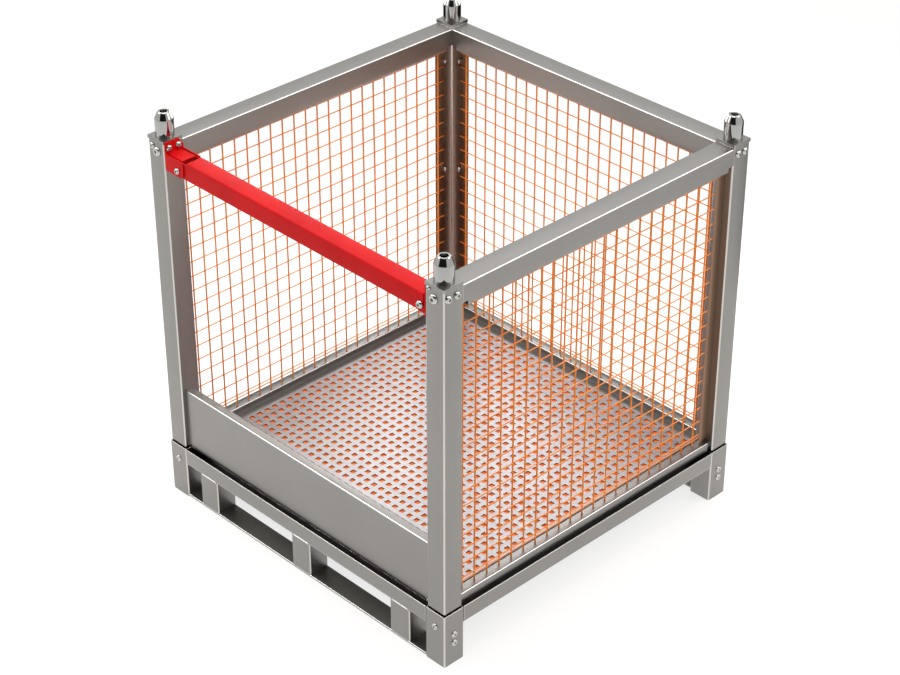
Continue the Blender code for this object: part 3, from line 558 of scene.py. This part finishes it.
def hexNut(at, way, size):
    # hexagon with its corners turned down, and a plain bore, for a bolt of the given size
    flats, bore, high = size * nut["flats"], size + nut["play"], size * nut["high"]
    turned, slope, lead = nut["turned"], nut["slope"], nut["lead"]
    bm = bmesh.new()

    def hexRing(inset, level):
        corner = flats / 2 / math.cos(math.pi / 6) - inset
        return roundRing(bm, lambda angle: min(hexRadius(flats, angle), corner), level, boltSides)

    def boreRing(wider, level):
        return roundRing(bm, bore / 2 + wider, level, boltSides)

    rings = [boreRing(0, 0), hexRing(turned, 0), hexRing(0, slope), hexRing(0, high - slope),
             hexRing(turned, high), boreRing(lead, high), boreRing(0, high - lead)]
    for i in range(len(rings)):
        bridge(bm, rings[i], rings[(i + 1) % len(rings)])
    return moved(bm, Matrix.Translation(at) @ turnTo(way))


# Base

corners = {"front_left": (-1, -1), "front_right": (1, -1), "rear_left": (-1, 1), "rear_right": (1, 1)}
postOut = 0.495  # from the middle to each post's axis, in both directions
sheetEdge = 0.0005  # radius on the edges of cut and folded parts


def camelCorner(corner):
    first, second = corner.split("_")
    return first + second.capitalize()


foot = {"radius": 0.0045, "wall": 0.003, "side": 0.066, "edge": 0.0010, "boltAcross": 0.0185,
        "boltHigh": 0.0043, "sideBolts": (0.0625, 0.0885), "frontBolt": 0.112}


def makeFeet():
    for corner, (sx, sy) in corners.items():
        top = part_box("foot_" + corner)[1].z
        cx, cy = sx * postOut, sy * postOut
        tube = squareTube(foot["side"], foot["side"], foot["wall"], foot["radius"], 0.0, top, "xyz", 6)
        makePiece("foot_" + camelCorner(corner), shifted(tube, cx, cy), steelAlong["z"],
                  stands=("foot_" + corner,), edge=foot["edge"])
        face = foot["side"] / 2
        heads = [boltHead((cx + sx * face, cy, level), (sx, 0, 0), foot["boltAcross"], foot["boltHigh"])
                 for level in foot["sideBolts"]]
        heads.append(boltHead((cx, cy + sy * face, foot["frontBolt"]), (0, sy, 0), foot["boltAcross"],
                              foot["boltHigh"]))
        makePiece("footBolts_" + camelCorner(corner), merged(heads), boltZinc, edge=0)


beam = {"wall": 0.003, "fold": 0.004, "edge": 0.0010, "spacerWall": 0.003, "spacerRadius": 0.004,
        "skidRadius": 0.0015}


def channelLoop(depth, height):
    half, wall, fold = depth / 2, beam["wall"], beam["fold"]
    pts = [(-half, 0), (half, 0), (half, height), (half - wall, height), (half - wall, wall),
           (-half + wall, wall), (-half + wall, height), (-half, height)]
    return roundedLoop(pts, [fold, fold, 0, 0, fold - wall, fold - wall, 0, 0], 4)


def makeBeams():
    for node, axis in (("fork_beam_front", "x"), ("fork_beam_rear", "x"), ("side_beam_left", "y"),
                       ("side_beam_right", "y")):
        low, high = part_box(node)
        middle = (low + high) / 2
        size = high - low
        depth = size.y if axis == "x" else size.x
        loop = channelLoop(depth, size.z)
        if axis == "x":
            bm = shifted(solidBar(loop, low.x, high.x, "yzx"), 0, middle.y, low.z)
        else:
            bm = shifted(solidBar(loop, low.y, high.y, "xzy"), middle.x, 0, low.z)
        makePiece(node.replace("_", "") + "Channel", bm, steelAlong[axis], stands=(node,),
                  edge=beam["edge"])
    for row in ("front", "rear"):
        for place in ("left", "middle", "right"):
            node = f"fork_spacer_{row}_{place}"
            low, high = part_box(node)
            middle = (low + high) / 2
            tube = squareTube(high.x - low.x, high.y - low.y, beam["spacerWall"], beam["spacerRadius"],
                              low.z, high.z, "xyz")
            makePiece("spacer_" + row + place.capitalize(), shifted(tube, middle.x, middle.y),
                      steelAlong["z"], stands=(node,))
        low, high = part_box("skid_" + row)
        loop = roundedLoop(rectCorners(high.y - low.y, high.z - low.z), beam["skidRadius"], 3)
        middle = (low + high) / 2
        skid = shifted(solidBar(loop, low.x, high.x, "yzx"), 0, middle.y, middle.z)
        makePiece("skid_" + row, skid, steelAlong["x"], stands=("skid_" + row,))


weld = {"size": 0.0022, "wave": 0.0035, "inset": 0.006, "sunk": 0.0010, "ripple": 0.18, "wide": 0.9,
        "proud": 0.55, "end": 0.4, "endSlope": 6, "sides": 10}


def weldBead(start, end, out):
    # a low rippled bead along a joint, standing out the given way
    size, ripple = weld["size"], weld["ripple"]
    start, end, out = Vector(start), Vector(end), Vector(out).normalized()
    run = end - start
    along = run.normalized()
    side = along.cross(out)
    steps = max(6, int(run.length / weld["wave"] * 2))
    bm = bmesh.new()
    rings = []
    for i in range(steps + 1):
        t = i / steps
        taper = min(1, weld["end"] + weld["endSlope"] * min(t, 1 - t))
        swell = size * (1 - ripple + ripple * math.cos(i * math.pi)) * taper
        centre = start + run * t
        rings.append([bm.verts.new(centre + side * (size * weld["wide"] * math.cos(a))
                                   + out * (swell * weld["proud"] * math.sin(a)))
                      for a in [math.tau * k / weld["sides"] for k in range(weld["sides"])]])
    for first, second in zip(rings, rings[1:]):
        bridge(bm, first, second)
    bm.faces.new(rings[0])
    bm.faces.new(rings[-1])
    return bm


def makeSpacerWelds():
    for row, sy in (("front", -1), ("rear", 1)):
        beads = []
        for place in ("left", "middle", "right"):
            low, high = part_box(f"fork_spacer_{row}_{place}")
            face = (low.y if sy < 0 else high.y) - sy * weld["sunk"]
            for level in (low.z, high.z):
                first, last = low.x + weld["inset"], high.x - weld["inset"]
                beads.append(weldBead((first, face, level), (last, face, level), (0, sy, 0)))
        makePiece("spacerWelds_" + row, merged(beads), steelAlong["x"], edge=0)


def assignSteel(node, material):
    piece = frame["nodes"][node]
    piece.data.materials.clear()
    piece.data.materials.append(material)


makeFeet()
makeBeams()
makeSpacerWelds()
for corner in corners:
    assignSteel("spigot_" + corner, darkSteel)
for node in frame["nodes"]:
    if node.startswith("floor_bearer"):
        assignSteel(node, steelAlong["x"])
print("base ready")


# Posts, caps and pins

post = {"side": 0.060, "wall": 0.003, "radius": 0.0045,
        # the plate that closes a post's foot: side, corner radius, underside and top above the post's end
        "plate": (0.0538, 0.0015, 0.0002, 0.005),
        # heads of the outer and the guide bolts: across and high; the key recess is a share of the head
        "outerHead": (0.0205, 0.0060), "guideHead": (0.016, 0.0045), "keyShare": 0.34,
        "outerBoltAt": 1.041, "outerBolts": {-1: (-0.0165, 0.011), 1: (-0.012, 0.0125)},
        "guideLevels": (0.955, 0.62, 0.26),
        # front face, left post and right post: place across, height, and the head's across and high
        "frontBolts": {-1: ((-0.015, 1.046, 0.0175, 0.0045), (0.003, 1.035, 0.026, 0.0062)),
                       1: ((-0.019, 1.056, 0.013, 0.0040), (-0.003, 1.034, 0.026, 0.0062))}}


def makePosts():
    for corner, (sx, sy) in corners.items():
        low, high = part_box("post_" + corner)
        cx, cy = sx * postOut, sy * postOut
        tube = squareTube(post["side"], post["side"], post["wall"], post["radius"], low.z, high.z, "xyz", 6)
        wide, curve, under, over = post["plate"]
        plate = solidBar(roundedLoop(rectCorners(wide, wide), curve, 3), low.z + under, low.z + over, "xyz")
        makePiece("post_" + camelCorner(corner), shifted(merged([tube, plate]), cx, cy), steelAlong["z"],
                  stands=("post_" + corner,), edge=sheetEdge)
        half = post["side"] / 2
        spots = [((cx + sx * half, cy + offset, post["outerBoltAt"]), (sx, 0, 0), *post["outerHead"])
                 for offset in post["outerBolts"][sy]]
        if sy > 0:
            spots += [((cx - sx * half, cy, level), (-sx, 0, 0), *post["guideHead"])
                      for level in post["guideLevels"]]
        if corner == "rear_left":
            spots += [((cx, cy - half, level), (0, -1, 0), *post["guideHead"])
                      for level in post["guideLevels"]]
        if sy < 0:
            spots += [((cx + offset, cy - half, level), (0, -1, 0), wide, tall)
                      for offset, level, wide, tall in post["frontBolts"][sx]]
        heads = [boltHead(*spot, key=spot[2] * post["keyShare"]) for spot in spots]
        makePiece("postBolts_" + camelCorner(corner), merged(heads), boltZinc, edge=0)


cap = {"side": 0.060, "overhang": 0.0016, "radius": 0.0015, "crown": 0.0008}


def makeCaps():
    for corner, (sx, sy) in corners.items():
        low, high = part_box("cap_" + corner)
        side, shift = cap["side"] + cap["overhang"], postOut + cap["overhang"] / 2
        bm = solidBar(roundedLoop(rectCorners(side, side), cap["radius"], 6), low.z, high.z, "xyz")
        rim = [e for e in bm.edges if all(abs(v.co.z - high.z) < 1e-6 for v in e.verts)]
        bmesh.ops.bevel(bm, geom=rim, offset=cap["crown"], segments=3, affect="EDGES", profile=0.5)
        makePiece("cap_" + camelCorner(corner), shifted(bm, sx * shift, sy * shift), steelAlong["x"],
                  stands=("cap_" + corner,), edge=0)


pin = {"across": 0.0485, "coneHigh": 0.0175, "topAcross": 0.030, "bore": 0.0205, "boreDeep": 0.030,
       "boreTip": 0.003, "seat": 0.0003, "sides": 72, "smooth": 24,
       # the turned edges as steps out and up: barrel's foot, start of the cone, crown and bore's mouth
       "foot": ((-0.0012, 0), (-0.0003, 0.0004), (0, 0.0014)),
       "shoulder": ((0, -0.0030), (-0.0002, -0.0012), (-0.0008, 0.0004), (-0.0018, 0.0022)),
       "crown": ((0.0016, -0.0024), (0.0007, -0.0010), (-0.0003, -0.0002), (-0.0014, 0)),
       "mouth": ((0.0012, 0), (0.0003, -0.0004), (0, -0.0013))}


def makePins():
    # from the seat up the barrel, over the cone and the crown, and down into the bore
    base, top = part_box("cap_front_left")[1].z + pin["seat"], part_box("stacking_pin_front_left")[1].z
    wide, crown, bore = pin["across"] / 2, pin["topAcross"] / 2, pin["bore"] / 2
    depth = top - pin["boreDeep"]
    profile = [(0, base)]
    for edge, radius, level in (("foot", wide, base), ("shoulder", wide, top - pin["coneHigh"]),
                                ("crown", crown, top), ("mouth", bore, top)):
        profile += [(radius + out, level + up) for out, up in pin[edge]]
    profile += [(bore, depth), (0, depth - pin["boreTip"])]
    for corner, (sx, sy) in corners.items():
        bm = shifted(lathe(profile, pin["sides"]), sx * postOut, sy * postOut)
        makePiece("stackingPin_" + camelCorner(corner), bm, pinSteel,
                  stands=("stacking_pin_" + corner,), edge=0, smooth=pin["smooth"])


makePosts()
makeCaps()
makePins()
print("posts, caps and pins ready")


# Rails

rail = {"topRadius": 0.004, "topWall": 0.003, "topRelief": (0.016, 0.013),
        "lowRadius": 0.003, "lowWall": 0.002, "lowRelief": (0.006, 0.014),
        # the weld fill: how far under the rail's faces and into its end it lies, and its edge radius
        "fillUnder": 0.0003, "fillInto": 0.001, "fillEdge": 0.0003}


def makeRails():
    for node, axis in (("top_rail_left", "y"), ("top_rail_right", "y"), ("top_rail_rear", "x"),
                       ("lower_rail_left", "y"), ("lower_rail_right", "y"), ("lower_rail_rear", "x")):
        kind = "top" if node.startswith("top") else "low"
        low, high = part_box(node)
        middle, size = (low + high) / 2, high - low
        across = size.y if axis == "x" else size.x
        axes = "yzx" if axis == "x" else "xzy"
        reach = size.x / 2 if axis == "x" else size.y / 2
        tube = squareTube(across, size.z, rail[kind + "Wall"], rail[kind + "Radius"], -reach, reach, axes, 5)
        long, tall = rail[kind + "Relief"]
        cutTop = -size.z / 2 + tall
        cuts = []
        for end in (-1, 1):
            near, far = sorted((end * (reach - long), end * (reach + past)))
            if axis == "x":
                cuts.append(("DIFFERENCE", boxBetween((near, -across, -size.z), (far, across, cutTop))))
            else:
                cuts.append(("DIFFERENCE", boxBetween((-across, near, -size.z), (across, far, cutTop))))
        first, _, third = node.split("_")
        makePiece(first + "Rail_" + third, tube, steelAlong[axis], stands=(node,), changes=cuts,
                  place=Matrix.Translation(middle), edge=sheetEdge)


def makeRailWelds():
    # the joints are welded and ground nearly flush, which leaves a thin line beside the post's rounding
    fill, under, into = post["radius"], rail["fillUnder"], rail["fillInto"]
    for side in ("left", "right", "rear"):
        low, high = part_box("top_rail_" + side)
        axis = 0 if side == "rear" else 1
        fills = []
        for end in (-1, 1):
            start, stop = low.copy(), high.copy()
            edge = high[axis] if end > 0 else low[axis]
            start[axis], stop[axis] = sorted((edge - end * into, edge + end * fill))
            start[1 - axis] += under
            stop[1 - axis] -= under
            start.z += rail["topRelief"][1]
            stop.z -= under
            fills.append(boxBetween(start, stop))
        makePiece("railWelds_" + side, merged(fills), steelAlong["xy"[axis]], edge=rail["fillEdge"])


makeRails()
makeRailWelds()


# Kickplate

kick = {"sheet": 0.003, "topFlange": 0.026, "lip": 0.010, "bottomFlange": 0.030, "fold": 0.0045,
        "relief": (0.022, 0.009), "edge": 0.0004}


def makeKickplate():
    low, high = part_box("kickplate")
    face, sheet, fold = low.y, kick["sheet"], kick["fold"]
    back, toe = face + kick["topFlange"], face + kick["bottomFlange"]
    pts = [(face, low.z), (toe, low.z), (toe, low.z + sheet), (face + sheet, low.z + sheet),
           (face + sheet, high.z - sheet), (back - sheet, high.z - sheet),
           (back - sheet, high.z - kick["lip"]), (back, high.z - kick["lip"]), (back, high.z), (face, high.z)]
    inner = fold - sheet
    loop = roundedLoop(pts, [fold, 0, 0, inner, inner, inner, 0, 0, fold, fold], 5)
    cuts = []
    for end, edgeX in ((-1, low.x), (1, high.x)):
        near, far = sorted((edgeX - end * kick["relief"][0], edgeX + end * past))
        cuts.append(("DIFFERENCE", boxBetween((near, face - past, low.z - past),
                                              (far, toe + past, low.z + kick["relief"][1]))))
    makePiece("kickplateSheet", solidBar(loop, low.x, high.x, "yzx"), steelAlong["x"],
              stands=("kickplate",), changes=cuts, edge=kick["edge"])


makeKickplate()
print("rails and kickplate ready")


# Floor

punched = {"pitch": 0.0270, "hole": 0.0140, "corner": 0.0018, "across": 34}


def makePunchedFloor():
    low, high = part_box("perforated_floor")
    middle = (low + high) / 2
    count, pitch = punched["across"], punched["pitch"]
    first = -(count - 1) / 2 * pitch
    startX, startY = middle.x + first, middle.y + first
    linesX = [low.x] + [startX + pitch * (i + 0.5) for i in range(count - 1)] + [high.x]
    linesY = [low.y] + [startY + pitch * (i + 0.5) for i in range(count - 1)] + [high.y]
    hole = roundedLoop(rectCorners(punched["hole"], punched["hole"]), punched["corner"], 2)
    bm = bmesh.new()
    layers = []
    for level in (low.z, high.z):
        grid = [[bm.verts.new((x, y, level)) for y in linesY] for x in linesX]
        holes = [[[bm.verts.new((startX + pitch * i + p.x, startY + pitch * j + p.y, level)) for p in hole]
                  for j in range(count)] for i in range(count)]
        layers.append((grid, holes))
        for i in range(count):
            for j in range(count):
                ring = holes[i][j]
                cell = [grid[i][j], grid[i + 1][j], grid[i + 1][j + 1], grid[i][j + 1]]
                for side in range(4):
                    # corner arcs have three points each; the middle one belongs to both neighbouring faces
                    a, b = side * 3 + 1, (side * 3 + 4) % 12
                    bm.faces.new([cell[side], cell[(side + 1) % 4], ring[b], ring[(b - 1) % 12],
                                  ring[a + 1], ring[a]])
    for i in range(count):
        for j in range(count):
            bridge(bm, layers[0][1][i][j], layers[1][1][i][j])
    rims = [[row[0] for row in grid] + grid[-1][1:] + [row[-1] for row in grid[-2::-1]] + grid[0][-2:0:-1]
            for grid, _ in layers]
    bridge(bm, *rims)
    makePiece("punchedFloor", bm, floorSteel, stands=("perforated_floor",), edge=0)


makePunchedFloor()
assignSteel("floor_tray", steelAlong["x"])
assignSteel("floor_underlay", sheetCoat)
print("floor ready")


# Wire panels

wires = {"upright": 0.0045, "level": 0.0033, "sink": 0.0006,  # diameters, and how deep two wires are welded
         "pitch": {"left": 0.040, "right": 0.0427, "rear": 0.0382},
         "shift": {"left": 0.0, "right": 0.011, "rear": 0.0}, "sideMargin": 0.03,
         "rowPitch": 0.0425, "firstRow": 0.030, "doubleRow": 0.020, "topMargin": 0.012,
         "strip": (0.028, 0.0018), "stripEdge": 0.0004}


def wireRod(bm, start, end, radius, sides=10):
    turn = turnTo(end - start).to_3x3()
    rings = [roundRing(bm, radius, 0, sides) for _ in range(2)]
    for spot, ring in zip((start, end), rings):
        for vert in ring:
            vert.co = spot + turn @ vert.co
    bridge(bm, rings[0], rings[1])
    bm.faces.new(rings[0])
    bm.faces.new(rings[1])


def makePanels():
    for side in ("left", "right", "rear"):
        node = "mesh_panel_" + side
        low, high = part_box(node)
        middle = (low + high) / 2
        alongX = side == "rear"
        span = (high.x - low.x) if alongX else (high.y - low.y)
        outward = {"left": Vector((-1, 0, 0)), "right": Vector((1, 0, 0)), "rear": Vector((0, 1, 0))}[side]
        along = Vector((1, 0, 0)) if alongX else Vector((0, 1, 0))
        base = Vector((middle.x, middle.y, 0))
        bm = bmesh.new()
        pitch = wires["pitch"][side]
        count = int((span - wires["sideMargin"]) / pitch)
        for i in range(count + 1):
            spot = base + along * ((i - count / 2) * pitch + wires["shift"][side])
            wireRod(bm, spot + Vector((0, 0, low.z)), spot + Vector((0, 0, high.z)), wires["upright"] / 2)
        offset = outward * ((wires["upright"] + wires["level"]) / 2 - wires["sink"])
        levels = [low.z + wires["doubleRow"]]
        while levels[-1] < high.z - wires["topMargin"] - wires["rowPitch"]:
            levels.append(low.z + wires["firstRow"] + (len(levels) - 1) * wires["rowPitch"])
        for level in levels:
            spot = base + offset + Vector((0, 0, level))
            wireRod(bm, spot - along * (span / 2), spot + along * (span / 2), wires["level"] / 2)
        makePiece("wirePanel_" + side, bm, wireCoat, stands=(node,), edge=0)
        wide, thick = wires["strip"]
        behind = base + outward * (wires["upright"] / 2 + wires["level"] + thick / 2)
        strips = []
        for end in (-1, 1) if alongX else (1,):
            near, far = behind + along * (end * (span / 2 - wide)), behind + along * (end * span / 2)
            pad = Vector([abs(c) * thick / 2 for c in outward])
            lowSpot = Vector([min(a, b) for a, b in zip(near, far)]) - pad + Vector((0, 0, low.z))
            highSpot = Vector([max(a, b) for a, b in zip(near, far)]) + pad + Vector((0, 0, high.z))
            strips.append(boxBetween(lowSpot, highSpot))
        # the strips behind the wire ends carry the painted reflection
        makePiece("panelStrips_" + side, merged(strips), wireReflectionSteel, edge=wires["stripEdge"])


makePanels()
print("wire panels ready")


# Lift-up bar and its brackets

bar = {"side": 0.050, "wall": 0.003, "radius": 0.0035, "boltHigh": 0.0175, "tail": 0.014, "head": 0.034,
       "lug": 0.026, "lugRadius": 0.003, "lip": 0.004, "end": 0.010, "mouth": (0.016, 0.006),
       "notchPlay": 0.0009, "pivotBolt": 0.010, "restBolt": 0.012, "drillPlay": 0.0006}
bracket = {"sheet": 0.003, "sideGap": 0.0006, "fit": 0.0003, "play": 0.0005, "bend": 0.001,
           "postFace": 0.4647, "hingeTop": 1.067, "chamfer": (0.013, 0.021), "tongueEnd": 0.013,
           "restTop": 1.060,
           # lowest, highest, how far past the bolt, and the corner radius
           "cheek": (-0.0155, 0.030, 0.023, 0.012), "ear": (-0.022, 0.013, 0.012, 0.010),
           "plateBolt": 0.010, "plateBolts": (-0.0155, 0.013), "plateBoltHigh": 1.050, "plateBoltLong": 0.013}
# as shares of the bolt's size: the heads' across, height and key, and how far a cross bolt passes the face
crossHead, plateHead, pastFace = (1.75, 0.55, 0.6), (1.75, 0.5, 0.6), 1.1
sunk, skin = 0.0002, 0.001  # how deep a shank is in its head, and how far an outline clears a face
pivotAt = Vector(frame["record"]["behaviour"]["joints"][0]["pos_m"])
restLow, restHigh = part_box("bar_rest_bolt")
restAt = Vector(((restLow.x + restHigh.x) / 2, pivotAt.y, (restLow.z + restHigh.z) / 2))
barAngle = math.atan2(pivotAt.z - restAt.z, restAt.x - pivotAt.x)
barSpan = (restAt - pivotAt).length
cheekGap = bar["side"] / 2 + bracket["sideGap"]
earFace = bar["side"] / 2 - bar["wall"] - bracket["sideGap"]


def makeBar():
    half, bottom, top = bar["side"] / 2, -bar["boltHigh"], bar["side"] - bar["boltHigh"]
    end = barSpan + bar["end"]
    farEnd, over, below = end + 2 * past, top + 2 * past, bottom - 2 * past
    tube = squareTube(bar["side"], bar["side"], bar["wall"], bar["radius"], -bar["tail"] - 2 * past, end,
                      "yzx")
    shifted(tube, 0, 0, (top + bottom) / 2)
    under = bottom - skin
    view = [(-bar["tail"], under), (farEnd, under), (farEnd, over), (bar["head"], over),
            (bar["head"], bar["lug"]), (-bar["tail"], bar["lug"])]
    outline = roundedLoop(view, [-under, 0, 0, 0, bar["lugRadius"], bar["tail"]], 10)
    inside = half - bar["lip"]
    crown, wide = bar["restBolt"] / 2 + bracket["fit"], bar["restBolt"] / 2 + bar["notchPlay"]
    notch = [(through, -through), (through, crown)]
    notch += [(wide * math.cos(a), crown * math.sin(a))
              for a in [math.pi / 2 * (1 + k / 8) for k in range(9)]]
    notch.append((-wide, -through))
    mouth, (mouthLong, mouthDeep) = earFace + bracket["fit"], bar["mouth"]
    changes = [
        ("INTERSECT", solidBar(outline, -through, through, "xzy")),
        ("DIFFERENCE", boxBetween((-through, -inside, 0), (bar["head"] - bracket["fit"], inside, over))),
        ("DIFFERENCE", boxBetween((barSpan - mouthLong, -mouth, below), (farEnd, mouth, bottom + mouthDeep))),
        ("DIFFERENCE", rod(bar["pivotBolt"] + bar["drillPlay"], (0, -through, 0), (0, through, 0), 32)),
        ("DIFFERENCE", shifted(solidBar(notch, -through, through, "xzy"), barSpan, 0)),
    ]
    place = Matrix.Translation(pivotAt) @ Matrix.Rotation(barAngle, 4, "Y")
    makePiece("liftBar", tube, redCoat, body="bar", stands=("safety_bar",), changes=changes,
              place=place, edge=sheetEdge)


def bracketPiece(name, node, joint, bolt, plan, planRadii, view, viewRadii, extra=()):
    # cut from its plan section, trimmed to its side view and drilled for its bolts
    low, high = min(z for x, z in view), max(z for x, z in view)
    changes = [("INTERSECT", solidBar(roundedLoop(view, viewRadii, 8), -through, through, "xzy")),
               ("DIFFERENCE", rod(bolt + bar["drillPlay"], (0, -2 * through, 0), (0, 2 * through, 0), 32))]
    level, reach = bracket["plateBoltHigh"] - joint.z, through + past
    for offset in bracket["plateBolts"]:
        changes.append(("DIFFERENCE", rod(bracket["plateBolt"] + bar["drillPlay"], (-reach, offset, level),
                                          (reach, offset, level))))
    makePiece(name, solidBar(roundedLoop(plan, planRadii), low - past, high + past, "xyz"), redCoat,
              stands=(node,), changes=changes + list(extra), place=Matrix.Translation(joint),
              edge=sheetEdge)


def makeHingeBracket():
    sheet, bend, half = bracket["sheet"], bracket["bend"], cheekGap + bracket["sheet"]
    low, high, tip, curve = bracket["cheek"]
    back = -bracket["postFace"] - pivotAt.x
    plate, openEnd, beyond, top = back + sheet, tip + past, back - past, bracket["hingeTop"] - pivotAt.z
    plan = [(back, -half), (openEnd, -half), (openEnd, -cheekGap), (plate, -cheekGap), (plate, cheekGap),
            (openEnd, cheekGap), (openEnd, half), (back, half)]
    view = [(beyond, low), (tip, low), (tip, high), (plate + bend, high), (plate + bend, top), (beyond, top)]
    reach = bar["side"] / 2 - bar["lip"] - bracket["play"]
    tongue = boxBetween((back + sheet / 2, -reach, high - sheet),
                        (bracket["tongueEnd"], reach, high - bracket["fit"]))
    wide, tall = bracket["chamfer"]
    chamfer = solidBar([(half - wide, top + skin), (half + skin, top - tall), (half + skin, top + skin)],
                       -2 * through, plate + bend + bracket["fit"], "yzx")
    bracketPiece("hingeBracket", "bar_hinge_bracket", pivotAt, bar["pivotBolt"], plan,
                 [sheet, 0, 0, bend, bend, 0, 0, sheet], view, [0, curve, sheet, bend, 0, 0],
                 [("UNION", tongue), ("DIFFERENCE", chamfer)])


def makeRestBracket():
    sheet, half, inner = bracket["sheet"], cheekGap + bracket["sheet"], earFace - bracket["sheet"]
    low, high, reach, curve = bracket["ear"]
    back = bracket["postFace"] - restAt.x
    plate, tip, top = back - sheet, -reach, bracket["restTop"] - restAt.z
    openEnd, beyond, step = tip - past, back + past, plate - bracket["fit"] / 2
    plan = [(back, -half), (plate, -half), (plate, -earFace), (openEnd, -earFace), (openEnd, -inner),
            (plate, -inner), (plate, inner), (openEnd, inner), (openEnd, earFace), (plate, earFace),
            (plate, half), (back, half)]
    view = [(beyond, low), (tip, low), (tip, high), (step, high), (step, top), (beyond, top)]
    bracketPiece("restBracket", "bar_rest_bracket", restAt, bar["restBolt"], plan, 0, view,
                 [0, curve, curve, bracket["bend"], 0, 0])


def makeBarBolts():
    # head and nut bear on the cheeks at the pivot, and on nothing but the bar's sides at the rest
    hingeFace = cheekGap + bracket["sheet"] + bracket["fit"]
    for name, joint, size, face in (("hinge", pivotAt, bar["pivotBolt"], hingeFace),
                                    ("rest", restAt, bar["restBolt"], cheekGap)):
        end = face + pastFace * size
        shank = rod(size, joint + Vector((0, sunk - face, 0)), joint + Vector((0, end, 0)), 32)
        head = boltHead(joint + Vector((0, sunk / 2 - face, 0)), (0, -1, 0), *[s * size for s in crossHead])
        makePiece(name + "Bolt", merged([shank, head]), boltZinc, stands=(f"bar_{name}_bolt",),
                  edge=0)
        makePiece(name + "Nut", hexNut(joint + Vector((0, face, 0)), (0, 1, 0), size), boltZinc,
                  stands=(f"bar_{name}_nut",), edge=0)
    for name, sx in (("hinge", -1), ("rest", 1)):
        seat, size = bracket["postFace"] - bracket["sheet"] - bracket["fit"], bracket["plateBolt"]
        heads = []
        for offset in bracket["plateBolts"]:
            at = Vector((sx * seat, -postOut + offset, bracket["plateBoltHigh"]))
            heads.append(boltHead(at, (-sx, 0, 0), *[s * size for s in plateHead]))
            heads.append(rod(size, at - Vector((-sx * sunk, 0, 0)),
                             at + Vector((sx * bracket["plateBoltLong"], 0, 0)), 20))
        makePiece(name + "PlateBolts", merged(heads), boltZinc,
                  stands=(f"{name}_plate_bolt_front", f"{name}_plate_bolt_rear"), edge=0)


makeBar()
makeHingeBracket()
makeRestBracket()
makeBarBolts()
print("bar and brackets ready")


def keepStripOff(starts):
    # the low strip lamp is for the floor and the kickplate; it stands so near the rails and caps that it
    # would burn out their tops
    unlit = bpy.data.collections.new("outOfStripLight")
    for piece in list(bpy.context.scene.objects):
        if piece.name.startswith(starts) and piece.name not in frame["nodes"]:
            unlit.objects.link(piece)
    for entry in unlit.collection_objects:
        entry.light_linking.link_state = "EXCLUDE"
    bpy.data.objects["strip"].light_linking.receiver_collection = unlit


keepStripOff(("topRail_", "railWelds_", "cap_"))
